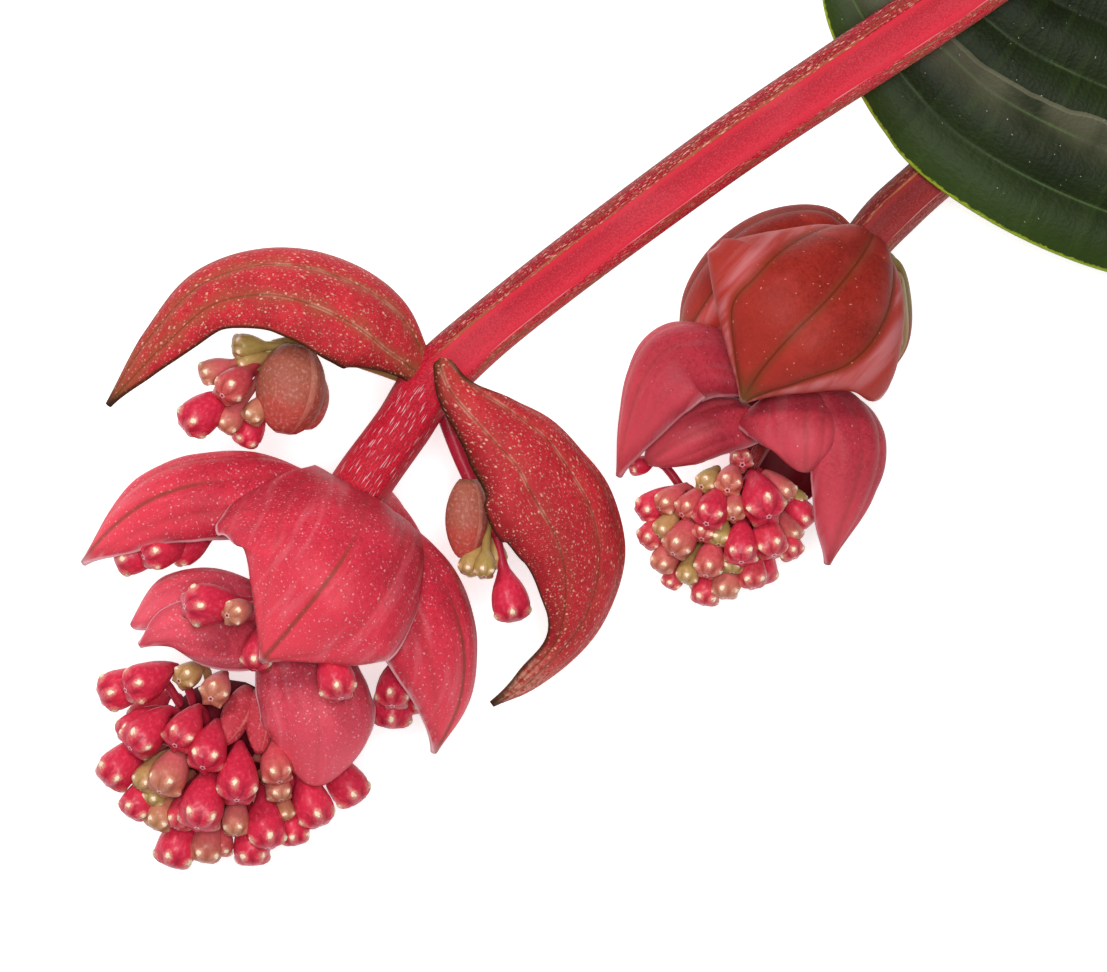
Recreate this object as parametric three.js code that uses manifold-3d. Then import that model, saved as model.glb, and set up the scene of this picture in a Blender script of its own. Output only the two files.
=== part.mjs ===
// Medinilla: a cut branch with two hanging flower heads in bud, laid down on a table.
// Millimetres, +Z up. The branch rests on the plane z = 0, and the origin is below its middle.
//
// A short piece of woody stem carries one leaf and two red stalks. Each stalk ends in a head of
// buds inside whorls of cupped bracts, and small sprays of buds stand in the axils of the bracts.
// Every bract, stalk, spray and head is one solid, seated a hair clear of what carries it.
import * as THREE from "three";
import { mergeGeometries, mergeVertices } from "three/addons/utils/BufferGeometryUtils.js";
import Module from "manifold-3d";

const wasm = await Module();
wasm.setup();

// ---- driving dimensions, in millimetres ----
const SEAT_GAP = 0.3; // clearance between a piece and what carries it
const BRACT_THICKNESS = 1.1;
const LEAF_THICKNESS = 1.2;
const BUD_LENGTH = 12.4;
const BUD_RADIUS = 4;
const PEDICEL_RADIUS = 0.9;
const NODE_WIDTH = 0.03; // the length of a node's swelling, as a share of the whole stalk
const SLIVER = 0.08; // edges shorter than this, left by a cut, are closed up
const STALK_SIDES = 8;
const BUD_SIDES = 5;
const POD_SIDES = 8;

// ---- proportions of blades ----
const MARGIN_TAPER = 0.7; // thickness at the margin, as a share of that at the midrib
const QUILT_AT_BASE = 0.08; // how far along its wave the quilting starts, so that it isn't flat there
const BLUNT_TIP = 0.04; // what is left of a blunt blade's width at its very tip, squared

// ---- proportions of buds, from the neck at 0 to the tip at 1 ----
const BUD_HEART = 0.6; // where a bud's middle lies along it
const BUD_PROFILE = [[0.58, 1], [0.86, 0.88], [1, 0.45]]; // [place along it, share of its radius]
const PEDICEL_FLARE = 1.25; // how far a pedicel widens towards its bud
const POD_PROFILE = [[0, 0.25], [0.22, 0.8], [0.5, 1], [0.8, 0.72], [1, 0.25]];

// ---- proportions of heads and sprays ----
const HEAD_CORE = 0.5; // the core of a head, as a share of the dome that its buds stand on
const PEDICEL_START = 0.35; // where a head's pedicels start, as a share of the way to their buds
const SMALL_BUD_SINK = 0.4; // how far a small bud lies below the dome, as a share of what it lacks
const LOWEST_RISE = 0.05; // keeps a bud at the rim of the dome from sinking to its middle
const HIDDEN_TOP = 0.55; // the buds below spread from this height of the dome down to its bottom
const HIDDEN_CEILING = 0.2; // and stay below this share of the dome's depth
const HIDDEN_SPACING = 0.8; // the least distance between them, as a share of two bud radii
const HIDDEN_SIZES = [0.95, 0.83, 0.71];
const HIDDEN_SHRINK = new THREE.Vector3(0.68, 0.7, 1); // keeps them inside those above
const GOLDEN_ANGLE = Math.PI * (3 - Math.sqrt(5));
const SPRAY_STEPS = 3;
const SPRAY_TAPER = 0.3; // how much thinner a branchlet is at its end
const LAST_PEDICEL = 0.97; // where a spray's outermost pedicel starts along its branchlet
const PEDICEL_STEP = 0.06; // from there to the next one inwards
const DEGREE = Math.PI / 180;

// ---- colours ----
const COLOURS = {
  bark: { color: 0x6b6a43, roughness: 0.85 },
  leaf: { color: 0x26381f, roughness: 0.4 },
  stalk: { color: 0xc22c40, roughness: 0.5 },
  upper_bract: { color: 0xb93a40, roughness: 0.55 },
  lower_bract: { color: 0xc9405a, roughness: 0.5 },
  bud: { color: 0xc42a44, roughness: 0.3 },
};

// ---- small helpers ----
const vector = (p) => new THREE.Vector3(...p);
const spline = (points) => new THREE.CatmullRomCurve3(points.map(vector), false, "centripetal");

// The value at u (0 to 1) of a smooth curve through a list of evenly spaced values.
function along(list, u) {
  return new THREE.SplineCurve(list.map((value, i) => new THREE.Vector2(i, value))).getPoint(u).y;
}

// The same for a list of vectors.
function vectorAlong(list, u) {
  const [x, y, z] = [0, 1, 2].map((k) => along(list.map((p) => p[k]), u));
  return new THREE.Vector3(x, y, z);
}

// A closed three.js geometry as a solid, and back.
function solidOf(geometry) {
  const bare = geometry.clone();
  bare.deleteAttribute("normal");
  bare.deleteAttribute("uv");
  const merged = mergeVertices(bare, 1e-4);
  const vertProperties = new Float32Array(merged.attributes.position.array);
  const triVerts = new Uint32Array(merged.index.array);
  return new wasm.Manifold(new wasm.Mesh({ numProp: 3, vertProperties, triVerts }));
}

function geometryOf(solid) {
  const mesh = solid.getMesh();
  const geometry = new THREE.BufferGeometry();
  geometry.setAttribute("position", new THREE.BufferAttribute(mesh.vertProperties, 3));
  geometry.setIndex(new THREE.BufferAttribute(mesh.triVerts, 1));
  geometry.computeVertexNormals();
  return geometry;
}

const largestBody = (solid) =>
  solid.decompose().reduce((a, b) => (a.volume() > b.volume() ? a : b));

// ---- tubes: stalks, stems, pedicels and buds ----
// A closed tube along a curve. rings lists [place along the curve, radius], and section(angle)
// scales the radius round the tube, where angle 0 faces front.
function tube(curve, rings, sides, front, section = () => 1) {
  const geometry = new THREE.CylinderGeometry(1, 1, 1, sides, rings.length - 1);
  const place = geometry.attributes.position;
  for (let i = 0; i < place.count; i++) {
    const x = place.getX(i);
    const z = place.getZ(i);
    const [u, radius] = rings[Math.round((place.getY(i) + 0.5) * (rings.length - 1))];
    const tangent = curve.getTangentAt(u);
    const facing = front.clone().addScaledVector(tangent, -front.dot(tangent)).normalize();
    const aside = new THREE.Vector3().crossVectors(tangent, facing);
    const size = radius * section(Math.atan2(x, z));
    const p = curve.getPointAt(u).addScaledVector(aside, x * size).addScaledVector(facing, z * size);
    place.setXYZ(i, p.x, p.y, p.z);
  }
  return solidOf(geometry);
}

// Four broad faces with a raised rib between them.
const fourRibbed = (angle) => 1.05 - 0.15 * Math.cos(4 * angle);
const TABLE_UP = new THREE.Vector3(0, 0, 1);

// A stem or stalk, a little swollen at its nodes.
function stalkSolid({ path, radii, nodes, swell, steps }, grow) {
  const rings = Array.from({ length: steps + 1 }, (_, i) => {
    const u = i / steps;
    const swollen = nodes.reduce((sum, n) => sum + Math.exp(-(((u - n) / NODE_WIDTH) ** 2)), 0);
    return [u, along(radii, u) * (1 + swell * swollen) + grow];
  });
  return tube(spline(path), rings, STALK_SIDES, TABLE_UP, fourRibbed);
}

// ---- blades: bracts and the leaf ----
// A blade's surface. Its midrib is a curve, facing lists the way its outer side looks from base
// to tip, and right and left are its half widths, as seen from outside with the tip up. Each half
// curls away from the outer side by up to curl degrees, and bulges by quilt between its veins. Its
// two margins reach back by lobe, from base to tip, and blunt is the share of it that rounds off.
function bladeSurface({ midrib, facing, right, left, curl, quilt = 0.5, veins = 2, blunt = 0, lobe = [0] }) {
  const spine = spline(midrib);
  const back = spine.getPoint(0).sub(spine.getPoint(1)).normalize();
  return (u, v, lift, widen) => {
    const tangent = spine.getTangentAt(u);
    const hint = vectorAlong(facing, u);
    const out = hint.addScaledVector(tangent, -hint.dot(tangent)).normalize();
    const aside = new THREE.Vector3().crossVectors(tangent, out);
    let width = along(v < 0 ? left : right, u) + widen;
    if (u > 1 - blunt) width *= Math.sqrt(1 + BLUNT_TIP - ((u - 1 + blunt) / blunt) ** 2);
    const turn = along(curl, u) * DEGREE;
    const radius = width / turn;
    const angle = turn * v;
    const fade = Math.sin(Math.PI * THREE.MathUtils.lerp(QUILT_AT_BASE, 1, u));
    const bulge = quilt * fade * Math.abs(Math.sin(Math.PI * veins * v));
    return spine
      .getPointAt(u)
      .addScaledVector(aside, (radius + bulge + lift) * Math.sin(angle))
      .addScaledVector(out, (radius + bulge + lift) * Math.cos(angle) - radius)
      .addScaledVector(back, along(lobe, u) * v * v);
  };
}

// A closed thin solid on a blade's surface: an outer face, an inner face split into triangles
// alike, and the rim that joins them.
function bladeSolid(blade, grow) {
  const { across = 6, down = 8, thickness = BRACT_THICKNESS } = blade;
  const surface = bladeSurface(blade);
  const face = (side) => {
    const sheet = new THREE.PlaneGeometry(2, 1, across, down);
    const place = sheet.attributes.position;
    for (let i = 0; i < place.count; i++) {
      const v = place.getX(i);
      const half = (thickness / 2) * THREE.MathUtils.lerp(1, MARGIN_TAPER, v * v) + grow;
      const p = surface(place.getY(i) + 0.5, v, side * half, grow);
      place.setXYZ(i, p.x, p.y, p.z);
    }
    return sheet;
  };
  const outer = face(1);
  const inner = face(-1);
  inner.setIndex(Array.from(inner.index.array).reverse());
  return solidOf(mergeGeometries([outer, inner, rim(outer, inner, across, down)]));
}

// The strip between the edges of the two faces of a blade.
function rim(outer, inner, across, down) {
  const row = across + 1;
  const edge = [
    ...Array.from({ length: across }, (_, i) => i),
    ...Array.from({ length: down }, (_, i) => i * row + across),
    ...Array.from({ length: across }, (_, i) => down * row + across - i),
    ...Array.from({ length: down }, (_, i) => (down - i) * row),
  ];
  const corner = (sheet, i) => new THREE.Vector3().fromBufferAttribute(sheet.attributes.position, i);
  const positions = edge.flatMap((a, k) => {
    const b = edge[(k + 1) % edge.length];
    const [oa, ob, ia, ib] = [corner(outer, a), corner(outer, b), corner(inner, a), corner(inner, b)];
    return [oa, ob, ia, ob, ib, ia].flatMap((p) => p.toArray());
  });
  const strip = new THREE.BufferGeometry();
  const count = positions.length / 3;
  strip.setAttribute("position", new THREE.Float32BufferAttribute(positions, 3));
  strip.setAttribute("normal", new THREE.Float32BufferAttribute(new Array(3 * count).fill(0), 3));
  strip.setAttribute("uv", new THREE.Float32BufferAttribute(new Array(2 * count).fill(0), 2));
  strip.setIndex(Array.from({ length: count }, (_, i) => i));
  return strip;
}

// ---- buds ----
// A pear-shaped bud on its pedicel. root is where the pedicel starts, heart the middle of the bud,
// and hub the point that the bud points away from.
function budSolid(root, heart, hub, size, grow) {
  const way = heart.clone().sub(hub).normalize();
  const length = BUD_LENGTH * size;
  const neck = heart.clone().addScaledVector(way, -BUD_HEART * length);
  const tip = heart.clone().addScaledVector(way, (1 - BUD_HEART) * length);
  const curve = new THREE.CatmullRomCurve3([root, neck, heart, tip], false, "centripetal");
  const share = length / curve.getLength();
  const profile = BUD_PROFILE.map(([place, radius]) => [
    1 - share * (1 - place),
    radius * BUD_RADIUS * size + grow,
  ]);
  const rings = [
    [0, PEDICEL_RADIUS + grow],
    [1 - share, PEDICEL_RADIUS * PEDICEL_FLARE + grow],
    ...profile,
  ];
  const front = Math.abs(way.z) < 0.9 ? TABLE_UP : new THREE.Vector3(0, 1, 0);
  return tube(curve, rings, BUD_SIDES, front);
}

// A closed pair of bracteoles, shaped like a broad pod.
function podSolid({ root, tip, radius }, grow) {
  const curve = new THREE.LineCurve3(vector(root), vector(tip));
  const rings = POD_PROFILE.map(([u, share]) => [u, share * radius + grow]);
  return tube(curve, rings, POD_SIDES, TABLE_UP);
}

// The hearts of a head's buds. Those that face up are given by their place across the head, and
// its dome gives their height. The rest of the dome is filled by the golden angle.
function budHearts({ facing, dome, hiddenCount }) {
  const [wide, long, deep] = dome;
  const hearts = facing.map(([aside, up, size]) => {
    const high = Math.sqrt(Math.max(LOWEST_RISE, 1 - (aside / wide) ** 2 - (up / long) ** 2));
    const sunk = 1 - SMALL_BUD_SINK * (1 - size);
    return { place: new THREE.Vector3(aside, up, deep * high * sunk), size };
  });
  for (let i = 0; i < hiddenCount; i++) {
    const up = THREE.MathUtils.lerp(HIDDEN_TOP, -1, (i + 0.5) / hiddenCount);
    const round = i * GOLDEN_ANGLE;
    const flat = Math.sqrt(1 - up * up);
    const place = new THREE.Vector3(flat * Math.cos(round), up, flat * Math.sin(round));
    place.multiply(HIDDEN_SHRINK).multiply(vector(dome));
    const size = HIDDEN_SIZES[i % HIDDEN_SIZES.length];
    const reach = (other) => BUD_RADIUS * (other.size + size) * HIDDEN_SPACING;
    const crowded = hearts.some((other) => other.place.distanceTo(place) < reach(other));
    if (place.z < deep * HIDDEN_CEILING && !crowded) hearts.push({ place, size });
  }
  return hearts;
}

// A dense head: buds and pods on a dome round the end of a stalk, rooted in a smaller core.
function headSolid(head, grow) {
  const centre = vector(head.centre);
  const hub = vector(head.hub);
  const core = new THREE.IcosahedronGeometry(1, 1);
  const [wide, long, deep] = head.dome.map((r) => r * HEAD_CORE + grow);
  core.scale(wide, long, deep).translate(centre.x, centre.y, centre.z);
  const solids = budHearts(head).map(({ place, size }) => {
    const root = centre.clone().addScaledVector(place, PEDICEL_START);
    return budSolid(root, place.clone().add(centre), hub, size, grow);
  });
  solids.push(...head.pods.map((pod) => podSolid(pod, grow)));
  return wasm.Manifold.union([solidOf(core), ...solids]);
}

// A spray: a bent branchlet with buds and pods at its end.
function spraySolid({ branch, thick, buds = [], pods = [] }, grow) {
  const curve = spline(branch);
  const rings = Array.from({ length: SPRAY_STEPS + 1 }, (_, i) => [
    i / SPRAY_STEPS,
    thick * (1 - (SPRAY_TAPER * i) / SPRAY_STEPS) + grow,
  ]);
  const solids = buds.map(([x, y, z, size], i) => {
    const root = curve.getPointAt(LAST_PEDICEL - PEDICEL_STEP * i);
    return budSolid(root, new THREE.Vector3(x, y, z), root, size, grow);
  });
  solids.push(tube(curve, rings, BUD_SIDES, TABLE_UP));
  solids.push(...pods.map((pod) => podSolid(pod, grow)));
  return wasm.Manifold.union(solids);
}

// A small bract has fewer faces.
const SMALL = { across: 4, down: 7 };

// ---- the woody stem ----
const STEM = {
  path: [[182, 10, 5.5], [179, 36, 5.5], [176, 64, 5.5], [173, 94, 5.5], [170.5, 124, 5.5], [170, 148, 5.8]],
  radii: [6.8, 6.6, 6.6, 6.6, 6.4, 5.4],
  nodes: [0.4, 0.93],
  swell: 0.2,
  steps: 18,
};

// ---- the two red stalks ----
const FRONT_STALK = {
  path: [
    [170, 141, 9], [163, 149, 16], [154, 149, 25], [140, 139, 36], [110, 118.4, 46], [82.2, 98.4, 48],
    [29.6, 63, 46], [-22.4, 22, 41], [-29.8, 11.5, 39], [-39, -1.4, 37], [-48, -17, 35], [-54.5, -30, 34],
  ],
  radii: [5.5, 6.9, 7, 7, 6.8, 6.4, 6.2, 6, 5.9, 5.8, 3],
  nodes: [0.8, 0.9],
  swell: 0.06,
  steps: 30,
};
const BACK_STALK = {
  path: [
    [170.5, 134, 8], [160, 140, 11], [150, 134, 15], [134, 116, 19], [114, 94, 23], [97, 78.6, 25],
    [76.8, 62, 27], [65, 50.6, 28], [57, 38, 28], [50, 24, 28], [43, 10, 27], [39, 2.6, 26.5],
  ],
  radii: [4.6, 5.6, 5.7, 5.7, 5.7, 5.6, 5.5, 5.2, 4.8, 3.4, 2.2],
  nodes: [0.7, 0.84],
  swell: 0.06,
  steps: 22,
};

// ---- the leaf ----
const LEAF = {
  midrib: [
    [175, 60, 12], [166, 63, 18], [150, 67, 26], [130, 73, 32], [111.4, 80, 35], [95, 87.8, 36.5],
    [87, 93.8, 37], [76, 103, 37], [66, 112, 36.5], [57, 121, 36],
  ],
  facing: [[-0.3, 0.1, 1], [-0.2, 0.1, 1], [0, 0, 1], [0, 0, 1], [0, 0, 1]],
  right: [5, 17, 27, 32, 34, 34.5, 34, 32, 27, 16, 0.8],
  left: [5, 17, 27, 32, 34, 34.5, 33.5, 31, 26, 18, 0.8],
  curl: [30, 8, 6, 6, 8, 10],
  quilt: 1,
  veins: 3,
  across: 12,
  down: 12,
  thickness: LEAF_THICKNESS,
};

// ---- bracts of the front flower head, from the top whorl down ----
const FRONT_UPPER_BRACTS = {
  upper_left_bract: {
    midrib: [
      [-24, 23, 43], [-31, 34.5, 47], [-43, 41.5, 49], [-56, 43.6, 49], [-69, 39.8, 47], [-79.5, 29.4, 43.5],
      [-88.4, 16.2, 39],
    ],
    facing: [[0.6, 0.5, 0.65], [0.2, 0.75, 0.65], [0, 0.77, 0.64], [-0.4, 0.6, 0.7], [-0.6, 0.35, 0.7]],
    right: [5, 16, 18.5, 14, 5.5, 0.6],
    left: [5, 15, 17, 16, 13.6, 10.6, 8.6, 5, 0.6],
    curl: [80, 72, 70, 60, 40],
    quilt: 0.7,
  },
  upper_right_bract: {
    midrib: [
      [-21, 25.6, 46], [-17, 20.6, 50], [-8.2, 14.6, 51], [-1, 9, 50.5], [3.4, 3, 50], [7.8, -5, 49],
      [9.4, -15.8, 47.5], [5.8, -27.4, 45], [-5, -39.2, 42], [-11.6, -43.6, 41],
    ],
    facing: [[0.4, 0.3, 0.87], [0.6, 0.4, 0.7], [0.7, 0.1, 0.7], [0.65, -0.3, 0.7], [0.45, -0.55, 0.7]],
    right: [3, 8, 14, 18, 20, 18.6, 15.5, 10.6, 4, 2.8, 0.6],
    left: [1, 1, 6.6, 12.2, 15.8, 17, 16.6, 13.8, 10.4, 5.6, 0.6],
    curl: [70, 66, 64, 58, 40],
    quilt: 0.7,
    down: 10,
  },
};
const FRONT_LOWER_BRACTS = {
  lower_front_bract: {
    midrib: [
      [-39.6, -0.8, 41], [-36.8, -2.6, 52], [-37.6, -8, 63], [-41, -14.8, 69], [-45.6, -21.2, 70],
      [-51, -27.8, 66], [-57, -34.6, 59],
    ],
    facing: [[0.6, 0.75, 0.1], [0.35, 0.5, 0.8], [0, 0, 1], [-0.1, -0.1, 1], [-0.3, -0.4, 0.87]],
    right: [11, 23, 29.6, 30.8, 28.8, 24, 18.4, 9.8, 0.6],
    left: [8, 16.5, 20.5, 20.8, 17, 0.6],
    curl: [75, 66, 56, 48, 36],
    quilt: 0.6,
    lobe: [6.5, 7.4, 5.2, 1, -3, -5, -2, 0, 0],
  },
  lower_left_bract: {
    midrib: [
      [-42, -2, 38], [-48, 0.8, 44], [-56, 1.6, 48], [-64, 0.8, 49.5], [-72, -0.4, 49.5], [-80, -3.4, 48],
      [-86.8, -8.4, 45], [-93.4, -15.4, 39],
    ],
    facing: [[0.1, 0.8, 0.6], [0, 0.55, 0.83], [-0.1, 0.5, 0.85], [-0.5, 0.4, 0.75]],
    right: [5, 11, 13, 13, 8, 0.6],
    left: [5, 10, 12, 10.5, 7, 0.6],
    curl: [60, 66, 62, 44],
    quilt: 0.5,
  },
  lower_right_bract: {
    midrib: [
      [-37, -4, 38], [-31, -7.6, 45], [-24.8, -14, 50], [-20, -23, 52], [-17.6, -32.6, 51.5],
      [-18.4, -42.4, 48], [-23.2, -53.2, 41],
    ],
    facing: [[0.5, 0.7, 0.5], [0.7, 0.3, 0.65], [0.75, 0.1, 0.65], [0.6, -0.4, 0.7]],
    right: [5, 12, 16, 17, 10, 0.6],
    left: [5, 12, 14, 12.5, 8, 0.6],
    curl: [60, 66, 64, 44],
    quilt: 0.5,
  },
  lower_back_bract: {
    midrib: [
      [-39.4, -0.6, 34], [-37.6, 1.4, 22], [-38.6, -3.5, 10], [-42, -12, 3], [-47, -22, 0.3],
      [-52.5, -32, 1.4], [-58, -42, 7],
    ],
    facing: [[0.3, 0.95, -0.1], [0.3, 0.6, -0.7], [0, 0, -1], [-0.1, -0.1, -1], [-0.3, -0.4, -0.87]],
    right: [8, 20, 25, 24, 14, 0.6],
    left: [7, 12, 19, 20, 12, 0.6],
    curl: [75, 62, 50, 44, 36],
    quilt: 0.5,
  },
  inner_right_bract: {
    midrib: [[-50, -26, 41], [-48.4, -32, 49], [-47, -40, 53], [-46, -49, 53], [-46.8, -59.6, 45]],
    facing: [[0.1, 0.7, 0.6], [0.1, 0.1, 1], [0, -0.6, 0.8]],
    right: [5, 10.5, 12.5, 12.6, 12.2, 11.4],
    left: [5, 10, 13, 13.6, 13, 12],
    curl: [50, 56, 50],
    quilt: 0.4,
    blunt: 0.42,
    ...SMALL,
  },
  inner_left_bract: {
    midrib: [[-52, -24, 37], [-60, -20.4, 43], [-69, -19, 46], [-77, -21.4, 46], [-83.4, -28, 42]],
    facing: [[-0.1, 0.75, 0.65], [-0.2, 0.7, 0.7], [-0.7, 0.3, 0.7]],
    right: [4, 6.5, 7.5, 7.5, 6.5, 4],
    left: [4, 8, 10, 10, 8, 4],
    curl: [60, 62, 50],
    quilt: 0.4,
    blunt: 0.3,
    ...SMALL,
  },
  inner_middle_bract: {
    midrib: [[-53, -28, 42], [-61, -29, 50], [-69, -28, 53], [-76, -28.4, 51.5], [-81.6, -31.6, 48]],
    facing: [[0.1, 0.5, 0.8], [0, 0.2, 1], [-0.3, -0.2, 0.9]],
    right: [3, 6.5, 7.5, 7, 4.5, 0.6],
    left: [3, 7, 8.4, 7.8, 5, 0.6],
    curl: [60, 56, 50],
    quilt: 0.3,
    ...SMALL,
  },
};

// ---- bracts of the back flower head ----
const BACK_UPPER_BRACTS = {
  back_head_front_bract: {
    midrib: [
      [64.4, 50.6, 30], [64, 49, 39], [60.8, 44, 48], [55, 37, 55], [47.4, 29.4, 56.5], [42, 23, 52],
      [38.4, 16.8, 45],
    ],
    facing: [[0.5, 0.7, 0.4], [0.3, 0.4, 0.85], [0, 0, 1], [-0.2, -0.2, 1], [-0.4, -0.4, 0.8]],
    right: [8, 15, 21.5, 25.6, 27.4, 26.8, 25.4, 10.6, 0.6],
    left: [7, 15, 23, 24.4, 14, 0.6],
    curl: [70, 66, 58, 52, 40],
    quilt: 1.3,
  },
  back_head_rear_bract: {
    midrib: [[62.6, 49, 25], [55, 54.8, 25], [44, 53.6, 25], [34, 47, 24], [28, 38, 22], [26.6, 29, 18]],
    facing: [[-0.1, 0.9, 0.3], [-0.4, 0.85, 0.3], [-0.7, 0.6, 0.3], [-0.9, 0.1, 0.2]],
    right: [5, 14, 18, 17, 12, 6],
    left: [5, 12, 16, 17, 15, 9],
    curl: [60, 64, 60, 50],
    quilt: 0.8,
    blunt: 0.25,
    ...SMALL,
  },
  back_head_edge_bract: {
    midrib: [[64, 46, 24], [69.4, 46, 19], [72, 38, 14], [71.6, 29, 12.5], [67, 21, 13.5]],
    facing: [[0.5, 0.8, 0.1], [0.95, 0.2, -0.2], [0.9, -0.3, -0.3]],
    right: [4, 9, 11, 10, 6, 0.6],
    left: [4, 9, 11, 10, 6, 0.6],
    curl: [60, 60, 44],
    quilt: 0.5,
    ...SMALL,
  },
};
const BACK_LOWER_BRACTS = {
  back_head_left_bract: {
    midrib: [
      [46, 22.6, 29], [39, 27, 36], [31, 29, 42], [23.4, 27, 44.8], [18.6, 20.4, 44.5],
      [15.8, 11.4, 41], [13.8, 2, 36],
    ],
    facing: [[0, 0.7, 0.7], [-0.2, 0.6, 0.75], [-0.55, 0.4, 0.73], [-0.7, 0, 0.7]],
    right: [5, 9, 11.6, 13.6, 13.4, 11.6, 8.4, 4.4, 0.6],
    left: [6, 9, 11.2, 12.6, 13, 11.8, 8.6, 4.2, 0.6],
    curl: [60, 66, 62, 44],
    quilt: 0.5,
  },
  back_head_middle_bract: {
    midrib: [[50, 19, 33], [51, 17.6, 41], [51, 12, 46.5], [51, 6.6, 46.5], [50.8, 3, 43.5]],
    facing: [[0.1, 0.8, 0.3], [0, 0.2, 1], [0, -0.5, 0.85]],
    right: [10, 15, 15, 13, 11, 9],
    left: [5, 7, 7.5, 7.2, 7, 6.6],
    curl: [50, 50, 46],
    quilt: 0.4,
    blunt: 0.4,
    ...SMALL,
  },
  back_head_right_bract: {
    midrib: [
      [52, 20, 29], [57.4, 19, 37], [61, 13.4, 42.5], [62, 7, 44], [60.4, -1, 43], [57.6, -9, 40],
      [55.6, -15.6, 36],
    ],
    facing: [[0.5, 0.6, 0.5], [0.5, 0.2, 0.85], [0.45, 0, 0.9], [0.4, -0.3, 0.85]],
    right: [5, 10, 12, 10, 6, 0.6],
    left: [5, 9, 10, 9, 6, 0.6],
    curl: [60, 62, 60, 44],
    quilt: 0.4,
  },
  back_head_lower_bract: {
    midrib: [[51, 22, 24], [52, 23, 13], [50.6, 16, 4], [48, 8, 0.4], [45.6, -1, 0.6], [43, -9, 4]],
    facing: [[0.2, 0.95, -0.1], [0.2, 0.6, -0.7], [0, 0, -1], [-0.2, -0.4, -0.87]],
    right: [6, 13, 17, 15, 9, 0.6],
    left: [6, 13, 17, 15, 9, 0.6],
    curl: [60, 56, 50, 40],
    quilt: 0.4,
    ...SMALL,
  },
  back_head_inner_bract: {
    midrib: [[44.6, 13, 31], [39.6, 13.6, 37], [33, 12, 40.5], [26, 8.8, 40.5], [19.4, 5, 36.5]],
    facing: [[0, 0.5, 0.8], [-0.1, 0, 1], [-0.4, -0.3, 0.85]],
    right: [3, 6, 7, 7, 6.5, 5],
    left: [3, 5.5, 6.5, 6.5, 6, 5],
    curl: [50, 54, 50],
    quilt: 0.3,
    blunt: 0.35,
    ...SMALL,
  },
};

// ---- heads and sprays of buds ----
// The buds that face up, as [place along x, place along y, size], from the middle of the dome.
const FRONT_FACING_BUDS = [
  [-20.6, 10.4, 1], [-15.6, 11.8, 1], [-7, 13.2, 0.65], [-1.4, 10.4, 0.75],
  [-17.6, 2.8, 0.8], [-15.4, 1.6, 1], [-7.6, 2.2, 0.9], [-2.8, -1.6, 0.95],
  [-20.6, -5, 1], [-10.6, -6.4, 0.95], [-15, -7, 0.7], [-13.4, -10.4, 0.6],
  [3, -7.2, 1.05], [10.4, -4.8, 0.8], [10.8, -9, 0.65], [-16.8, -11.8, 0.85],
  [-4, -12.4, 1.1], [-12.4, -14.4, 0.75], [-8.2, -14.2, 0.75], [2.4, -15.6, 0.7],
  [8.2, -16.8, 0.98], [17.4, -12.6, 1], [24, -8.6, 1], [12, -13.6, 0.5],
  [13.6, -17.2, 0.8], [-9.2, -20.6, 1.05], [-3.4, -20.4, 0.85], [5.4, -20.6, 0.92], [-0.6, -20.4, 0.6],
];
const BACK_FACING_BUDS = [
  [-13.6, 4, 0.75], [-10.4, 5, 0.65], [-6.4, 4, 0.65], [-2.8, 9, 0.55], [1.6, 8.8, 0.7], [4, 13.4, 0.6],
  [-2, 3, 0.85], [2.4, 3.4, 0.6], [8, 5, 1.05], [12, 7.2, 0.65], [15, 5.4, 0.5], [15.6, 2.6, 0.75],
  [-11, -0.2, 0.6], [-13.4, -1.6, 0.7], [-8, -2.8, 0.8], [-3.2, -0.6, 0.6], [-0.2, -1.8, 0.55],
  [3.8, -4, 0.85], [9.4, -2.6, 0.85], [13.6, -1, 0.6], [13.2, -3.8, 0.7], [-11, -6.4, 0.7],
  [-2.4, -7, 0.75], [-6.4, -9, 0.6], [-9.4, -10.4, 0.55], [1, -11.2, 0.75], [6, -9.2, 0.75],
  [-2.8, -12.6, 0.75], [2.2, -7, 0.6], [-16.2, 12, 0.5],
];
const HEADS = {
  front_head_buds: {
    centre: [-65, -50.8, 33],
    hub: [-61.4, -31, 33],
    dome: [25, 24, 19],
    facing: FRONT_FACING_BUDS,
    hiddenCount: 30,
    pods: [
      { root: [-60.4, -40.6, 39], tip: [-64.6, -51, 49], radius: 3.2 },
      { root: [-58.2, -41, 40], tip: [-57.8, -52.8, 50], radius: 2.8 },
    ],
  },
  back_head_buds: {
    centre: [34.4, -7.8, 26],
    hub: [38, 8, 26],
    dome: [16, 15, 15],
    facing: BACK_FACING_BUDS,
    hiddenCount: 26,
    pods: [],
  },
};

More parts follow.
